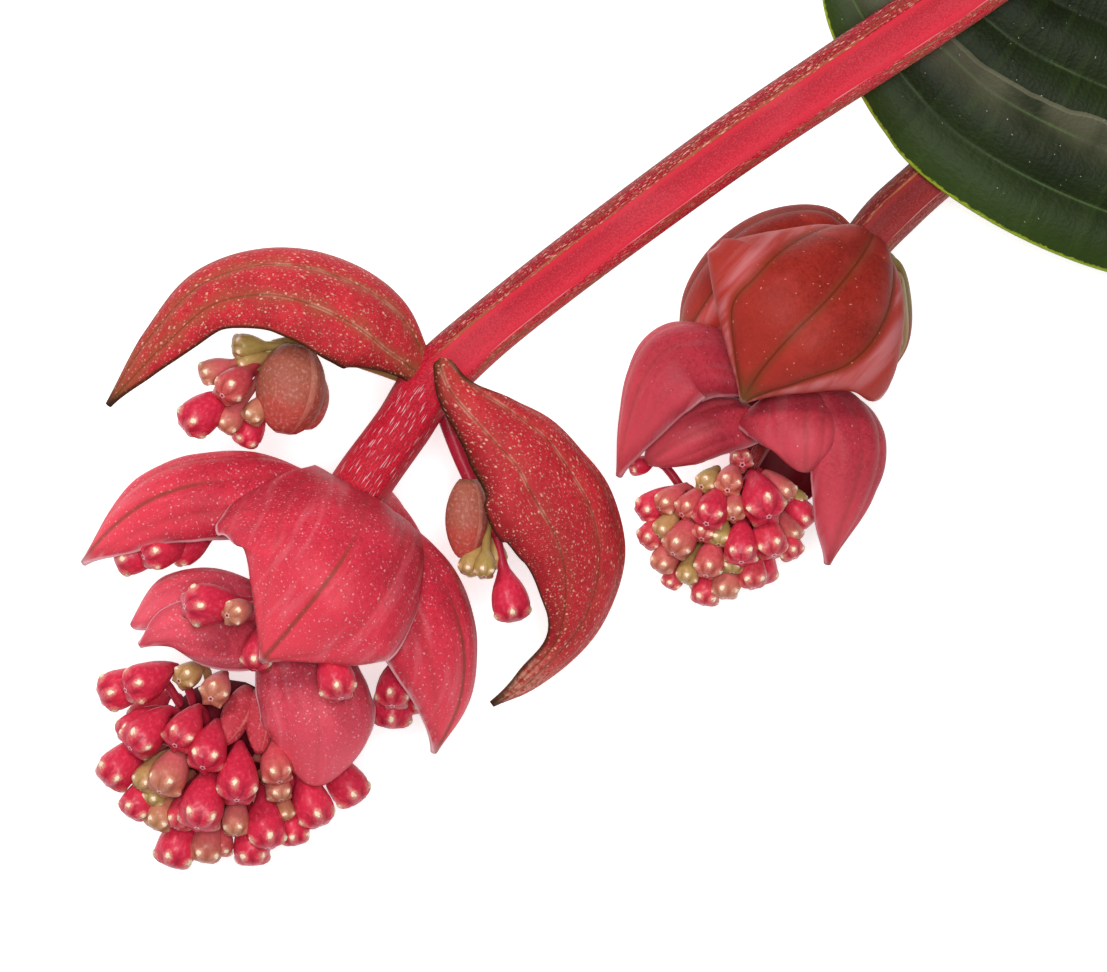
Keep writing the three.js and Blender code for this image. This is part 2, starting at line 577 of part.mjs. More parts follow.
// Each spray's buds are [x, y, z, size], at the middle of the bud.
const SPRAYS = {
  upper_left_spray: {
    branch: [[-25, 21, 36], [-37, 25, 37], [-49, 28.4, 38], [-56, 27.4, 38.5], [-58.4, 23, 39]],
    thick: 2,
    buds: [
      [-69.4, 14.4, 43, 1], [-63, 20.2, 46, 0.85], [-67, 23, 41, 0.66], [-63.6, 13.8, 42, 0.7],
      [-60, 11.2, 39, 0.75], [-58.6, 15, 44, 0.6], [-60.6, 28, 41, 0.62], [-60, 25.4, 40, 0.6],
    ],
    pods: [
      { root: [-50.6, 28, 41], tip: [-53, 10.6, 43], radius: 7.2 },
      { root: [-49, 24, 32], tip: [-49.4, 11.4, 33], radius: 5 },
    ],
  },
  upper_right_spray: {
    branch: [[-22, 17, 36], [-18, 6, 37], [-13.4, -4, 38], [-10.4, -10, 39]],
    thick: 1.8,
    buds: [[-8, -22.6, 41, 0.95], [-15.6, -15.2, 41, 0.6], [-13, -15.8, 44, 0.55], [-11, -13.8, 38, 0.6]],
    pods: [{ root: [-16.4, 1.4, 40], tip: [-17, -14.4, 40], radius: 4.4 }],
  },
  lower_left_spray: {
    branch: [[-43, -5, 36], [-54, -7.4, 38], [-64, -8.8, 39], [-71, -10, 40]],
    thick: 1.4,
    buds: [[-82.6, -13.6, 41, 0.95], [-77.4, -12.8, 45, 0.9], [-72.4, -12.4, 41, 0.8]],
  },
  lower_right_spray: {
    branch: [[-36.6, -7.4, 36], [-31, -16, 38], [-29.6, -26, 39], [-30.4, -32, 39]],
    thick: 1.4,
    buds: [[-31.4, -43.4, 40, 1.05], [-27, -41, 39, 0.95], [-31, -40, 46, 0.9]],
  },
  inner_left_spray: {
    branch: [[-49, -20.6, 36], [-53, -22.4, 46], [-57, -22.6, 53]],
    thick: 1.4,
    buds: [[-67.6, -23.4, 58, 1.05], [-61.8, -24.8, 59, 0.66], [-57.6, -32.6, 54, 0.85]],
  },
  inner_right_spray: {
    branch: [[-50, -22.4, 36], [-46.4, -24, 48], [-44.8, -29, 56]],
    thick: 1.4,
    buds: [[-42.4, -37.8, 59.6, 0.95]],
  },
};

// ---- assembly ----
// Each entry is [name, maker, its own values, colour]. A piece is cut clear of all those before it
// that it meets, so the order runs from what carries to what is carried.
const entries = (table, maker, colour) =>
  Object.entries(table).map(([name, values]) => [name, maker, values, colour]);
const PIECES = [
  ["woody_stem", stalkSolid, STEM, "bark"],
  ["front_stalk", stalkSolid, FRONT_STALK, "stalk"],
  ["back_stalk", stalkSolid, BACK_STALK, "stalk"],
  ["leaf", bladeSolid, LEAF, "leaf"],
  ...entries(FRONT_UPPER_BRACTS, bladeSolid, "upper_bract"),
  ...entries(FRONT_LOWER_BRACTS, bladeSolid, "lower_bract"),
  ...entries(BACK_UPPER_BRACTS, bladeSolid, "upper_bract"),
  ...entries(BACK_LOWER_BRACTS, bladeSolid, "lower_bract"),
  ...entries(HEADS, headSolid, "bud"),
  ...entries(SPRAYS, spraySolid, "bud"),
];

const root = new THREE.Group();
const earlier = [];
for (const [name, maker, values, colour] of PIECES) {
  let solid = maker(values, 0);
  const box = solid.boundingBox();
  for (const grown of earlier) {
    const other = grown.boundingBox();
    const apart = [0, 1, 2].some((k) => box.min[k] > other.max[k] || box.max[k] < other.min[k]);
    if (!apart) solid = solid.subtract(grown);
  }
  solid = largestBody(solid.trimByPlane(TABLE_UP.toArray(), 0).simplify(SLIVER));
  earlier.push(maker(values, SEAT_GAP));
  const mesh = new THREE.Mesh(geometryOf(solid), new THREE.MeshStandardMaterial(COLOURS[colour]));
  mesh.name = name;
  root.add(mesh);
}

// The origin stands on the table, below the middle of the branch's box.
const bounds = new THREE.Box3().setFromObject(root, true);
const middle = bounds.getCenter(new THREE.Vector3());
root.position.set(-middle.x, -middle.y, -bounds.min.z);

export default root;
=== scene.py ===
"""Medinilla: a cut flowering branch laid on a table, with its finer pieces and its finishes.

The tables are in millimetres from a point of their own; HOME brings them to the model's frame.
"""

import bisect
import math

import bmesh
import bpy
from bpy.props import FloatProperty, FloatVectorProperty, IntProperty, PointerProperty
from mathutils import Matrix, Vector


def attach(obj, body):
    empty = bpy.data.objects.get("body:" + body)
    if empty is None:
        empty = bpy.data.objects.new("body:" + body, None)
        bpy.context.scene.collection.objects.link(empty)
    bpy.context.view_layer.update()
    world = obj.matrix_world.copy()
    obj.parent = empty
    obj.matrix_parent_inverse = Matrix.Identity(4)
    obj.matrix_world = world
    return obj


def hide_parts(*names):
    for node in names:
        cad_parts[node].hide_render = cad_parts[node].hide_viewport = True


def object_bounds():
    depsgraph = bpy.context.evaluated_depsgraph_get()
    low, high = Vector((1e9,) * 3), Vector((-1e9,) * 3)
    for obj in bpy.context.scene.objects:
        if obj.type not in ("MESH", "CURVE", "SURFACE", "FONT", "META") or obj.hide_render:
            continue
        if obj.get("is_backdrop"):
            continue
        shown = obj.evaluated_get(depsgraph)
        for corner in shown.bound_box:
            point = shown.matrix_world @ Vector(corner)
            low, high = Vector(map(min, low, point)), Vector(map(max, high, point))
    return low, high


bl_info = {
    "name": "Medinilla branch",
    "version": (1, 0, 0),
    "blender": (4, 5, 0),
    "location": "View3D > Sidebar > Medinilla",
    "description": "Models a cut medinilla branch with two heads of buds",
    "category": "Object",
}

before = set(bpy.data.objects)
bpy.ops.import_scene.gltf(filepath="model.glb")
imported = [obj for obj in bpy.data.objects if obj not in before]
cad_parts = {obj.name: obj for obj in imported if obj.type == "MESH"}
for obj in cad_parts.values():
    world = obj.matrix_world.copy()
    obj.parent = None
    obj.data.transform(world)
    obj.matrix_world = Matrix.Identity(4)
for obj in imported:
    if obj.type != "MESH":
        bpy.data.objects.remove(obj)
CAD_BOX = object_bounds()

MM = 0.001
HOME = Vector((-47.107, -39.444, 0.0))  # from the tables' own point to the model's frame
UP = Vector((0, 0, 1))
GOLDEN_ANGLE = math.pi * (3 - math.sqrt(5))

# how finely the pieces are made, as faces round or across, and faces along
STEM_GRID = (48, 140)
FRONT_STALK_GRID = (48, 260)
BACK_STALK_GRID = (48, 180)
LEAF_GRID = (96, 120)
BRACT_GRID = (48, 72)
BUD_GRID = (20, 22)
BRANCH_GRID = (12, 18)
POD_GRID = (32, 20)
PEDICEL_STEPS = 6  # of the steps along a bud, those on its pedicel


# ---- colours and sizes that a user would change ----
def linear(code):
    """A linear colour from an sRGB hex value such as "c8434a"."""
    parts = [int(code[i : i + 2], 16) / 255 for i in (0, 2, 4)]
    return tuple(p / 12.92 if p <= 0.04045 else ((p + 0.055) / 1.055) ** 2.4 for p in parts)


def colour(name, code, description):
    """A colour property with its default as an sRGB hex value."""
    return FloatVectorProperty(
        name=name, description=description, default=linear(code), size=3, min=0, max=1, subtype="COLOR"
    )


def length(name, millimetres, description):
    """A length property with its default in millimetres."""
    return FloatProperty(
        name=name, description=description, default=millimetres * MM, min=0, unit="LENGTH", subtype="DISTANCE"
    )


class MedinillaSizes(bpy.types.PropertyGroup):
    """Sizes of the branch's pieces."""

    bract_thickness: length("Bract thickness", 1.1, "Thickness of a bract at its midrib")
    leaf_thickness: length("Leaf thickness", 1.2, "Thickness of the leaf at its midrib")
    bud_length: length("Bud length", 12.4, "Length of a full-grown bud without its pedicel")
    bud_radius: length("Bud radius", 4.0, "Radius of a full-grown bud at its widest")
    pedicel_radius: length("Pedicel radius", 0.9, "Radius of the small stalk of a bud")
    lobe_height: length("Lobe height", 0.5, "How far the pale knobs stand out round a bud's blunt end")
    lobe_count: IntProperty(name="Lobes", description="Pale lobes round a bud's end", default=5, min=3, max=6)


class MedinillaColours(bpy.types.PropertyGroup):
    """Colours of the branch's pieces."""

    upper_bract: colour("Upper bract", "c22f37", "Coral red of the weathered bracts of the top whorl")
    lower_bract: colour("Lower bract", "c82d40", "Pink crimson of the fresher bracts below them")
    inner_bract: colour("Inner bract", "c63f50", "Pink crimson of the small bracts round the front head")
    back_bract: colour("Back bract", "94281f", "Brownish red of the back head's top whorl")
    back_lower_bract: colour("Back lower bract", "b03240", "Dull pink crimson of the bracts below them")
    vein: colour("Vein", "74512c", "Olive brown along the veins and at the tips")
    dash: colour("Dash", "f2b19a", "Cream of the small raised warts and dashes")
    # besides the margin, this colour is laid as painted sheen streaks on the bracts and a painted highlight
    # line on a stalk's rib
    margin: colour("Margin", "f3bcc4", "Whitish pink of a bract's thin margin")
    stalk: colour("Stalk", "d0263a", "Crimson of a stalk's smooth faces")
    back_stalk: colour("Back stalk", "892323", "Dull dark red of the back stalk")
    cork: colour("Cork", "a5613f", "Tan of the corky ribs of a stalk")
    bark: colour("Bark", "6b5f3c", "Brown green of the woody stem")
    leaf: colour("Leaf", "1b260b", "Dark green of the leaf's upper side")
    leaf_vein: colour("Leaf vein", "4f6a2a", "Light green of the leaf's veins")
    # painted light: the greyish olive band under the leaf's crest and the lighter line on the crest
    leaf_crest_highlight: colour("Leaf crest", "5e5c48", "Greyish olive of the band that catches the light")
    leaf_margin: colour("Leaf margin", "8fa32c", "Yellow green of the leaf's margin")
    pod: colour("Bracteole", "bd4a42", "Coral pink of closed bracteoles")
    ripe_bud: colour("Ripe bud", "d42c48", "Pink crimson of a full-grown bud")
    young_bud: colour("Young bud", "cb5f62", "Tan pink of a young bud")
    green_bud: colour("Green bud", "ad9552", "Green tan of a very young bud")
    lobe: colour("Bud lobe", "f9e6c4", "Cream of the knobs round a bud's end")


# ---- curves ----
class Spline:
    """A smooth centripetal curve through points, on which places go by length."""

    STEPS = 200

    def __init__(self, points):
        self.points = [Vector(p) for p in points]
        samples = [self.step(i / self.STEPS) for i in range(self.STEPS + 1)]
        self.lengths = [0.0]
        for a, b in zip(samples, samples[1:]):
            self.lengths.append(self.lengths[-1] + (b - a).length)
        self.length = self.lengths[-1]

    def step(self, t):
        """The place at t, which goes evenly over the points and not by length."""
        points = self.points
        place = t * (len(points) - 1)
        i = min(int(place), len(points) - 2)
        w = place - i
        p1, p2 = points[i], points[i + 1]
        p0 = points[i - 1] if i else 2 * p1 - p2
        p3 = points[i + 2] if i + 2 < len(points) else 2 * p2 - p1
        d0, d1, d2 = (math.sqrt((b - a).length) or 1 for a, b in ((p0, p1), (p1, p2), (p2, p3)))
        m1 = ((p1 - p0) / d0 - (p2 - p0) / (d0 + d1) + (p2 - p1) / d1) * d1
        m2 = ((p2 - p1) / d1 - (p3 - p1) / (d1 + d2) + (p3 - p2) / d2) * d1
        return p1 + m1 * w + (3 * (p2 - p1) - 2 * m1 - m2) * w**2 + (2 * (p1 - p2) + m1 + m2) * w**3

    def share(self, u):
        """The t that lies at a share u of the curve's length."""
        target = min(1, max(0, u)) * self.length
        i = min(self.STEPS - 1, max(0, bisect.bisect_right(self.lengths, target) - 1))
        part = (target - self.lengths[i]) / (self.lengths[i + 1] - self.lengths[i])
        return (i + part) / self.STEPS

    def point(self, u):
        return self.step(self.share(u))

    def tangent(self, u):
        t = self.share(u)
        return (self.step(min(1, t + 1e-4)) - self.step(max(0, t - 1e-4))).normalized()


def along(values, u):
    """The value at u (0 to 1) of a smooth curve through evenly spaced numbers or vectors."""
    last = len(values) - 1
    place = min(1, max(0, u)) * last
    i = min(int(place), last)
    w = place - i
    p0, p1, p2, p3 = (values[min(last, max(0, i + k))] for k in (-1, 0, 1, 2))
    m1, m2 = (p2 - p0) * 0.5, (p3 - p1) * 0.5
    return p1 + m1 * w + (p2 * 3 - p1 * 3 - m1 * 2 - m2) * w**2 + (p1 * 2 - p2 * 2 + m1 + m2) * w**3


def smooth(low, high, value):
    """0 below low and 1 above high, with a smooth rise between them."""
    x = min(1, max(0, (value - low) / (high - low)))
    return x * x * (3 - 2 * x)


# ---- finished objects ----
def finish_piece(name, bm, materials, nodes):
    """Turns a bmesh in table millimetres into a piece that stands for CAD nodes, kept inside their box."""
    low, high = CAD_BOX
    for vert in bm.verts:
        place = (vert.co + HOME) * MM
        vert.co = [min(high[k], max(low[k], place[k])) for k in range(3)]
    for face in bm.faces:
        face.smooth = True
    mesh = bpy.data.meshes.new(name)
    bm.to_mesh(mesh)
    bm.free()
    for material in materials:
        mesh.materials.append(material)
    piece = bpy.data.objects.new(name, mesh)
    bpy.context.scene.collection.objects.link(piece)
    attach(piece, "root")
    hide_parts(*nodes)
    return piece


# ---- blades: bracts and the leaf ----
RIM_WAVE = 0.35  # millimetres by which a long blade's margin waves
LONG_REACH = 70  # millimetres of length from which a blade has the whole of that wave
EDGE_THICKNESS = 0.5  # a blade's thickness at its margin, as a share of that at its midrib
LEAST_WIDTH = 0.05  # millimetres, the least half width of a row
GRID_ORDER = Vector((100, 1e5, 1))  # sorts a flat blade's corners by row, then across it, then by height


def blade_surface(blade):
    """A blade's surface, as a function for a row across it and one for a point in a row, and its length."""
    spine = Spline(blade["midrib"])
    facing = [Vector(p) for p in blade["facing"]]
    back = (spine.point(0) - spine.point(1)).normalized()
    blunt = blade.get("blunt", 0)
    veins = blade.get("veins", 2)

    def row(u):
        """What is alike across the blade at u, from 0 at its base to 1 at its tip."""
        tangent = spine.tangent(u)
        hint = along(facing, u)
        out = (hint - tangent * hint.dot(tangent)).normalized()
        end = 1
        if blunt and u > 1 - blunt:
            end = math.sqrt(1.04 - ((u - 1 + blunt) / blunt) ** 2)  # a quarter circle that stops just short
        fade = math.sin(math.pi * (0.08 + 0.92 * u))
        return {
            "point": spine.point(u),
            "out": out,
            "aside": tangent.cross(out),
            "right": along(blade["right"], u) * end,
            "left": along(blade["left"], u) * end,
            "turn": math.radians(along(blade["curl"], u)),
            "quilt": blade.get("quilt", 0.5) * fade,
            "back": back * along(blade.get("lobe", [0]), u),
        }

    def place(row, v, lift, widen):
        """The point at v across a row, from -1 to 1, lifted off the surface and widened from the midrib."""
        width = max(LEAST_WIDTH, row["left"] if v < 0 else row["right"]) + widen
        radius = width / row["turn"]
        angle = row["turn"] * v
        bulge = row["quilt"] * abs(math.sin(math.pi * veins * v))
        reach = radius + bulge + lift
        return (
            row["point"]
            + row["aside"] * (reach * math.sin(angle))
            + row["out"] * (reach * math.cos(angle) - radius)
            + row["back"] * v * v
        )

    return row, place, spine.length


def blade_mesh(blade, thickness, grid):
    """A closed blade: a flat grid given a wall and a middle row at its rim, then bent to its surface."""
    row, place, reach = blade_surface(blade)
    veins = blade.get("veins", 2)
    wave = RIM_WAVE * min(1, (reach / LONG_REACH) ** 2)
    bm = bmesh.new()
    grain = bm.verts.layers.float_vector.new("grain")
    shape = bm.verts.layers.float_vector.new("blade")
    bmesh.ops.create_grid(bm, x_segments=grid[0], y_segments=grid[1], size=1)
    bmesh.ops.solidify(bm, geom=bm.faces[:], thickness=1)
    rim = [e for e in bm.edges if abs(e.verts[0].co.z - e.verts[1].co.z) > 0.5]
    bmesh.ops.subdivide_edges(bm, edges=rim, cuts=1, use_grid_fill=True)
    # solidify leaves its corners and faces in a new order on each run
    bm.verts.sort(key=lambda vert: vert.co.dot(GRID_ORDER))
    bm.faces.sort(key=lambda face: face.calc_center_median().dot(GRID_ORDER))
    rows = {}  # by place along the blade, in ten thousandths
    for vert in bm.verts:
        v, y, z = vert.co
        u = min(1, max(0, (y + 1) / 2))
        key = round(u * 10000)
        if key not in rows:
            rows[key] = row(u)
        here = rows[key]
        side = 1 + 2 * z  # 1 on the outer face, -1 on the inner one and 0 in the middle of the rim
        width = max(LEAST_WIDTH, here["left"] if v < 0 else here["right"])
        half = thickness / 2 * (1 - (1 - EDGE_THICKNESS) * v**4)
        frill = math.sin(u * 17 + v * 2) + 0.5 * math.sin(u * 41 - v * 3)
        ripple = wave * frill * abs(v) ** 5 * math.sin(math.pi * u)
        round_edge = half * 0.7 if abs(side) < 0.5 and abs(v) > 0.99 else 0
        crease = min(abs(abs(v) - k / veins) for k in range(veins)) * width
        vert.co = place(here, v, side * half + ripple, round_edge)
        vert[grain] = (v * width, side * half, u * reach)
        vert[shape] = (crease, (1 - abs(v)) * width, u)
    bmesh.ops.recalc_face_normals(bm, faces=bm.faces[:])
    return bm


# ---- tubes: stem, stalks, pedicels and buds ----
def straight_tube(sides, steps):
    """A closed straight tube of radius 1 from z 0 to 1, with rings between its ends."""
    bm = bmesh.new()
    bmesh.ops.create_cone(bm, cap_ends=True, segments=sides, radius1=1, radius2=1, depth=1)
    lengthwise = [e for e in bm.edges if abs(e.verts[0].co.z - e.verts[1].co.z) > 0.5]
    bmesh.ops.subdivide_edges(bm, edges=lengthwise, cuts=steps - 1, use_grid_fill=True)
    bmesh.ops.translate(bm, verts=bm.verts[:], vec=(0, 0, 0.5))
    mesh = bpy.data.meshes.new("straight_tube")
    bm.to_mesh(mesh)
    bm.free()
    return mesh


def add_tube(bm, template, curve, rings, front, section=None, tint=0.0):
    """Bends a copy of a straight tube along a curve, and notes each point's place on it.

    rings lists [place along the curve, radius], and front is the way that angle 0 faces.
    """
    before = len(bm.verts)
    bm.from_mesh(template)
    bm.verts.ensure_lookup_table()
    grain = bm.verts.layers.float_vector["grain"]
    shape = bm.verts.layers.float_vector["blade"]
    hoops = []
    for u, radius in rings:
        tangent = curve.tangent(u)
        facing = (front - tangent * front.dot(tangent)).normalized()
        hoops.append((curve.point(u), tangent.cross(facing), facing, radius, u))
    for i in range(before, len(bm.verts)):
        vert = bm.verts[i]
        x, y, z = vert.co
        point, aside, facing, radius, u = hoops[round(z * (len(rings) - 1))]
        angle = math.atan2(x, y)
        size = radius * (section(angle, u) if section else 1)
        vert.co = point + aside * (x * size) + facing * (y * size)
        vert[grain] = (x * radius, y * radius, u * curve.length)
        vert[shape] = (math.hypot(x, y), tint, u)


def tube_bmesh():
    """An empty bmesh with the layers that the finishes read."""
    bm = bmesh.new()
    bm.verts.layers.float_vector.new("grain")
    bm.verts.layers.float_vector.new("blade")
    return bm


# ---- where the pieces go ----
# Paths, midribs and branches are lists of [x, y, z]. A blade's facing is the way that its outer face looks,
# right and left are its half widths, and curl is half of the angle that it bends through across, in degrees,
# all from its base to its tip. quilt is how far it bulges between its veins, and blunt is the share of its
# length that its rounded end takes up. lobe says how far its two sides reach back beside its base, and veins
# into how many parts each half is split by its veins. A stalk's nodes are shares of its length.

# ---- the woody stem ----
STEM = {
    "path": [
        [182, 10, 5.5], [179, 36, 5.5], [176, 64, 5.5],
        [173, 94, 5.5], [170.5, 124, 5.5], [170, 148, 5.8],
    ],
    "radii": [6.8, 6.6, 6.6, 6.6, 6.4, 5.4],
    "nodes": [0.4, 0.93],
}

# ---- the two red stalks ----
FRONT_STALK = {
    "path": [
        [170, 141, 9], [163, 149, 16], [154, 149, 25], [140, 139, 36], [110, 118.4, 46], [82.2, 98.4, 48],
        [29.6, 63, 46], [-22.4, 22, 41], [-29.8, 11.5, 39], [-39, -1.4, 37], [-48, -17, 35], [-54.5, -30, 34],
    ],
    "radii": [5.5, 6.9, 7, 7, 6.8, 6.4, 6.2, 6, 5.9, 5.8, 3],
    "nodes": [0.8, 0.9],
}
BACK_STALK = {
    "path": [
        [170.5, 134, 8], [160, 140, 11], [150, 134, 15], [134, 116, 19], [114, 94, 23], [97, 78.6, 25],
        [76.8, 62, 27], [65, 50.6, 28], [57, 38, 28], [50, 24, 28], [43, 10, 27], [39, 2.6, 26.5],
    ],
    "radii": [4.6, 5.6, 5.7, 5.7, 5.7, 5.6, 5.5, 5.2, 4.8, 3.4, 2.2],
    "nodes": [0.7, 0.84],
}

# ---- the leaf ----
LEAF = {
    "midrib": [
        [175, 60, 12], [166, 63, 18], [150, 67, 26], [130, 73, 32], [111.4, 80, 35], [95, 87.8, 36.5],
        [87, 93.8, 37], [76, 103, 37], [66, 112, 36.5], [57, 121, 36],
    ],
    "facing": [[-0.3, 0.1, 1], [-0.2, 0.1, 1], [0, 0, 1], [0, 0, 1], [0, 0, 1]],
    "right": [5, 17, 27, 32, 34, 34.5, 34, 32, 27, 16, 0.8],
    "left": [5, 17, 27, 32, 34, 34.5, 33.5, 31, 26, 18, 0.8],
    "curl": [30, 8, 6, 6, 8, 10],
    "quilt": 1,
    "veins": 3,
}

# ---- bracts of the front flower head, from the top whorl down ----
FRONT_UPPER_BRACTS = {
    "upper_left_bract": {
        "midrib": [
            [-24, 23, 43], [-31, 34.5, 47], [-43, 41.5, 49],
            [-56, 43.6, 49], [-69, 39.8, 47], [-79.5, 29.4, 43.5],
            [-88.4, 16.2, 39],
        ],
        "facing": [[0.6, 0.5, 0.65], [0.2, 0.75, 0.65], [0, 0.77, 0.64], [-0.4, 0.6, 0.7], [-0.6, 0.35, 0.7]],
        "right": [5, 16, 18.5, 14, 5.5, 0.6],
        "left": [5, 15, 17, 16, 13.6, 10.6, 8.6, 5, 0.6],
        "curl": [80, 72, 70, 60, 40],
        "quilt": 0.7,
    },
    "upper_right_bract": {
        "midrib": [
            [-21, 25.6, 46], [-17, 20.6, 50], [-8.2, 14.6, 51], [-1, 9, 50.5], [3.4, 3, 50], [7.8, -5, 49],
            [9.4, -15.8, 47.5], [5.8, -27.4, 45], [-5, -39.2, 42], [-11.6, -43.6, 41],
        ],
        "facing": [[0.4, 0.3, 0.87], [0.6, 0.4, 0.7], [0.7, 0.1, 0.7], [0.65, -0.3, 0.7], [0.45, -0.55, 0.7]],
        "right": [3, 8, 14, 18, 20, 18.6, 15.5, 10.6, 4, 2.8, 0.6],
        "left": [1, 1, 6.6, 12.2, 15.8, 17, 16.6, 13.8, 10.4, 5.6, 0.6],
        "curl": [70, 66, 64, 58, 40],
        "quilt": 0.7,
    },
}
FRONT_LOWER_BRACTS = {
    "lower_front_bract": {
        "midrib": [
            [-39.6, -0.8, 41], [-36.8, -2.6, 52], [-37.6, -8, 63], [-41, -14.8, 69], [-45.6, -21.2, 70],
            [-51, -27.8, 66], [-57, -34.6, 59],
        ],
        "facing": [[0.6, 0.75, 0.1], [0.35, 0.5, 0.8], [0, 0, 1], [-0.1, -0.1, 1], [-0.3, -0.4, 0.87]],
        "right": [11, 23, 29.6, 30.8, 28.8, 24, 18.4, 9.8, 0.6],
        "left": [8, 16.5, 20.5, 20.8, 17, 0.6],
        "curl": [75, 66, 56, 48, 36],
        "quilt": 0.6,
        "lobe": [6.5, 7.4, 5.2, 1, -3, -5, -2, 0, 0],
    },
    "lower_left_bract": {
        "midrib": [
            [-42, -2, 38], [-48, 0.8, 44], [-56, 1.6, 48],
            [-64, 0.8, 49.5], [-72, -0.4, 49.5], [-80, -3.4, 48],
            [-86.8, -8.4, 45], [-93.4, -15.4, 39],
        ],
        "facing": [[0.1, 0.8, 0.6], [0, 0.55, 0.83], [-0.1, 0.5, 0.85], [-0.5, 0.4, 0.75]],
        "right": [5, 11, 13, 13, 8, 0.6],
        "left": [5, 10, 12, 10.5, 7, 0.6],
        "curl": [60, 66, 62, 44],
        "quilt": 0.5,
    },
    "lower_right_bract": {
        "midrib": [
            [-37, -4, 38], [-31, -7.6, 45], [-24.8, -14, 50], [-20, -23, 52], [-17.6, -32.6, 51.5],
            [-18.4, -42.4, 48], [-23.2, -53.2, 41],
        ],
        "facing": [[0.5, 0.7, 0.5], [0.7, 0.3, 0.65], [0.75, 0.1, 0.65], [0.6, -0.4, 0.7]],
        "right": [5, 12, 16, 17, 10, 0.6],
        "left": [5, 12, 14, 12.5, 8, 0.6],
        "curl": [60, 66, 64, 44],
        "quilt": 0.5,
    },
    "lower_back_bract": {
        "midrib": [
            [-39.4, -0.6, 34], [-37.6, 1.4, 22], [-38.6, -3.5, 10], [-42, -12, 3], [-47, -22, 0.3],
            [-52.5, -32, 1.4], [-58, -42, 7],
        ],
        "facing": [[0.3, 0.95, -0.1], [0.3, 0.6, -0.7], [0, 0, -1], [-0.1, -0.1, -1], [-0.3, -0.4, -0.87]],
        "right": [8, 20, 25, 24, 14, 0.6],
        "left": [7, 12, 19, 20, 12, 0.6],
        "curl": [75, 62, 50, 44, 36],
        "quilt": 0.5,
    },
    "inner_right_bract": {
        "midrib": [[-50, -26, 41], [-48.4, -32, 49], [-47, -40, 53], [-46, -49, 53], [-46.8, -59.6, 45]],
        "facing": [[0.1, 0.7, 0.6], [0.1, 0.1, 1], [0, -0.6, 0.8]],
        "right": [5, 10.5, 12.5, 12.6, 12.2, 11.4],
        "left": [5, 10, 13, 13.6, 13, 12],
        "curl": [50, 56, 50],
        "quilt": 0.4,
        "blunt": 0.42,
    },
    "inner_left_bract": {
        "midrib": [[-52, -24, 37], [-60, -20.4, 43], [-69, -19, 46], [-77, -21.4, 46], [-83.4, -28, 42]],
        "facing": [[-0.1, 0.75, 0.65], [-0.2, 0.7, 0.7], [-0.7, 0.3, 0.7]],
        "right": [4, 6.5, 7.5, 7.5, 6.5, 4],
        "left": [4, 8, 10, 10, 8, 4],
        "curl": [60, 62, 50],
        "quilt": 0.4,
        "blunt": 0.3,
    },
    "inner_middle_bract": {
        "midrib": [[-53, -28, 42], [-61, -29, 50], [-69, -28, 53], [-76, -28.4, 51.5], [-81.6, -31.6, 48]],
        "facing": [[0.1, 0.5, 0.8], [0, 0.2, 1], [-0.3, -0.2, 0.9]],
        "right": [3, 6.5, 7.5, 7, 4.5, 0.6],
        "left": [3, 7, 8.4, 7.8, 5, 0.6],
        "curl": [60, 56, 50],
        "quilt": 0.3,
    },
}

# ---- bracts of the back flower head ----
BACK_UPPER_BRACTS = {
    "back_head_front_bract": {
        "midrib": [
            [64.4, 50.6, 30], [64, 49, 39], [60.8, 44, 48], [55, 37, 55], [47.4, 29.4, 56.5], [42, 23, 52],
            [38.4, 16.8, 45],
        ],
        "facing": [[0.5, 0.7, 0.4], [0.3, 0.4, 0.85], [0, 0, 1], [-0.2, -0.2, 1], [-0.4, -0.4, 0.8]],
        "right": [8, 15, 21.5, 25.6, 27.4, 26.8, 25.4, 10.6, 0.6],
        "left": [7, 15, 23, 24.4, 14, 0.6],
        "curl": [70, 66, 58, 52, 40],
        "quilt": 1.3,
    },
    "back_head_rear_bract": {
        "midrib": [
            [62.6, 49, 25], [55, 54.8, 25], [44, 53.6, 25],
            [34, 47, 24], [28, 38, 22], [26.6, 29, 18],
        ],
        "facing": [[-0.1, 0.9, 0.3], [-0.4, 0.85, 0.3], [-0.7, 0.6, 0.3], [-0.9, 0.1, 0.2]],
        "right": [5, 14, 18, 17, 12, 6],
        "left": [5, 12, 16, 17, 15, 9],
        "curl": [60, 64, 60, 50],
        "quilt": 0.8,
        "blunt": 0.25,
    },
    "back_head_edge_bract": {
        "midrib": [[64, 46, 24], [69.4, 46, 19], [72, 38, 14], [71.6, 29, 12.5], [67, 21, 13.5]],
        "facing": [[0.5, 0.8, 0.1], [0.95, 0.2, -0.2], [0.9, -0.3, -0.3]],
        "right": [4, 9, 11, 10, 6, 0.6],
        "left": [4, 9, 11, 10, 6, 0.6],
        "curl": [60, 60, 44],
        "quilt": 0.5,
    },
}
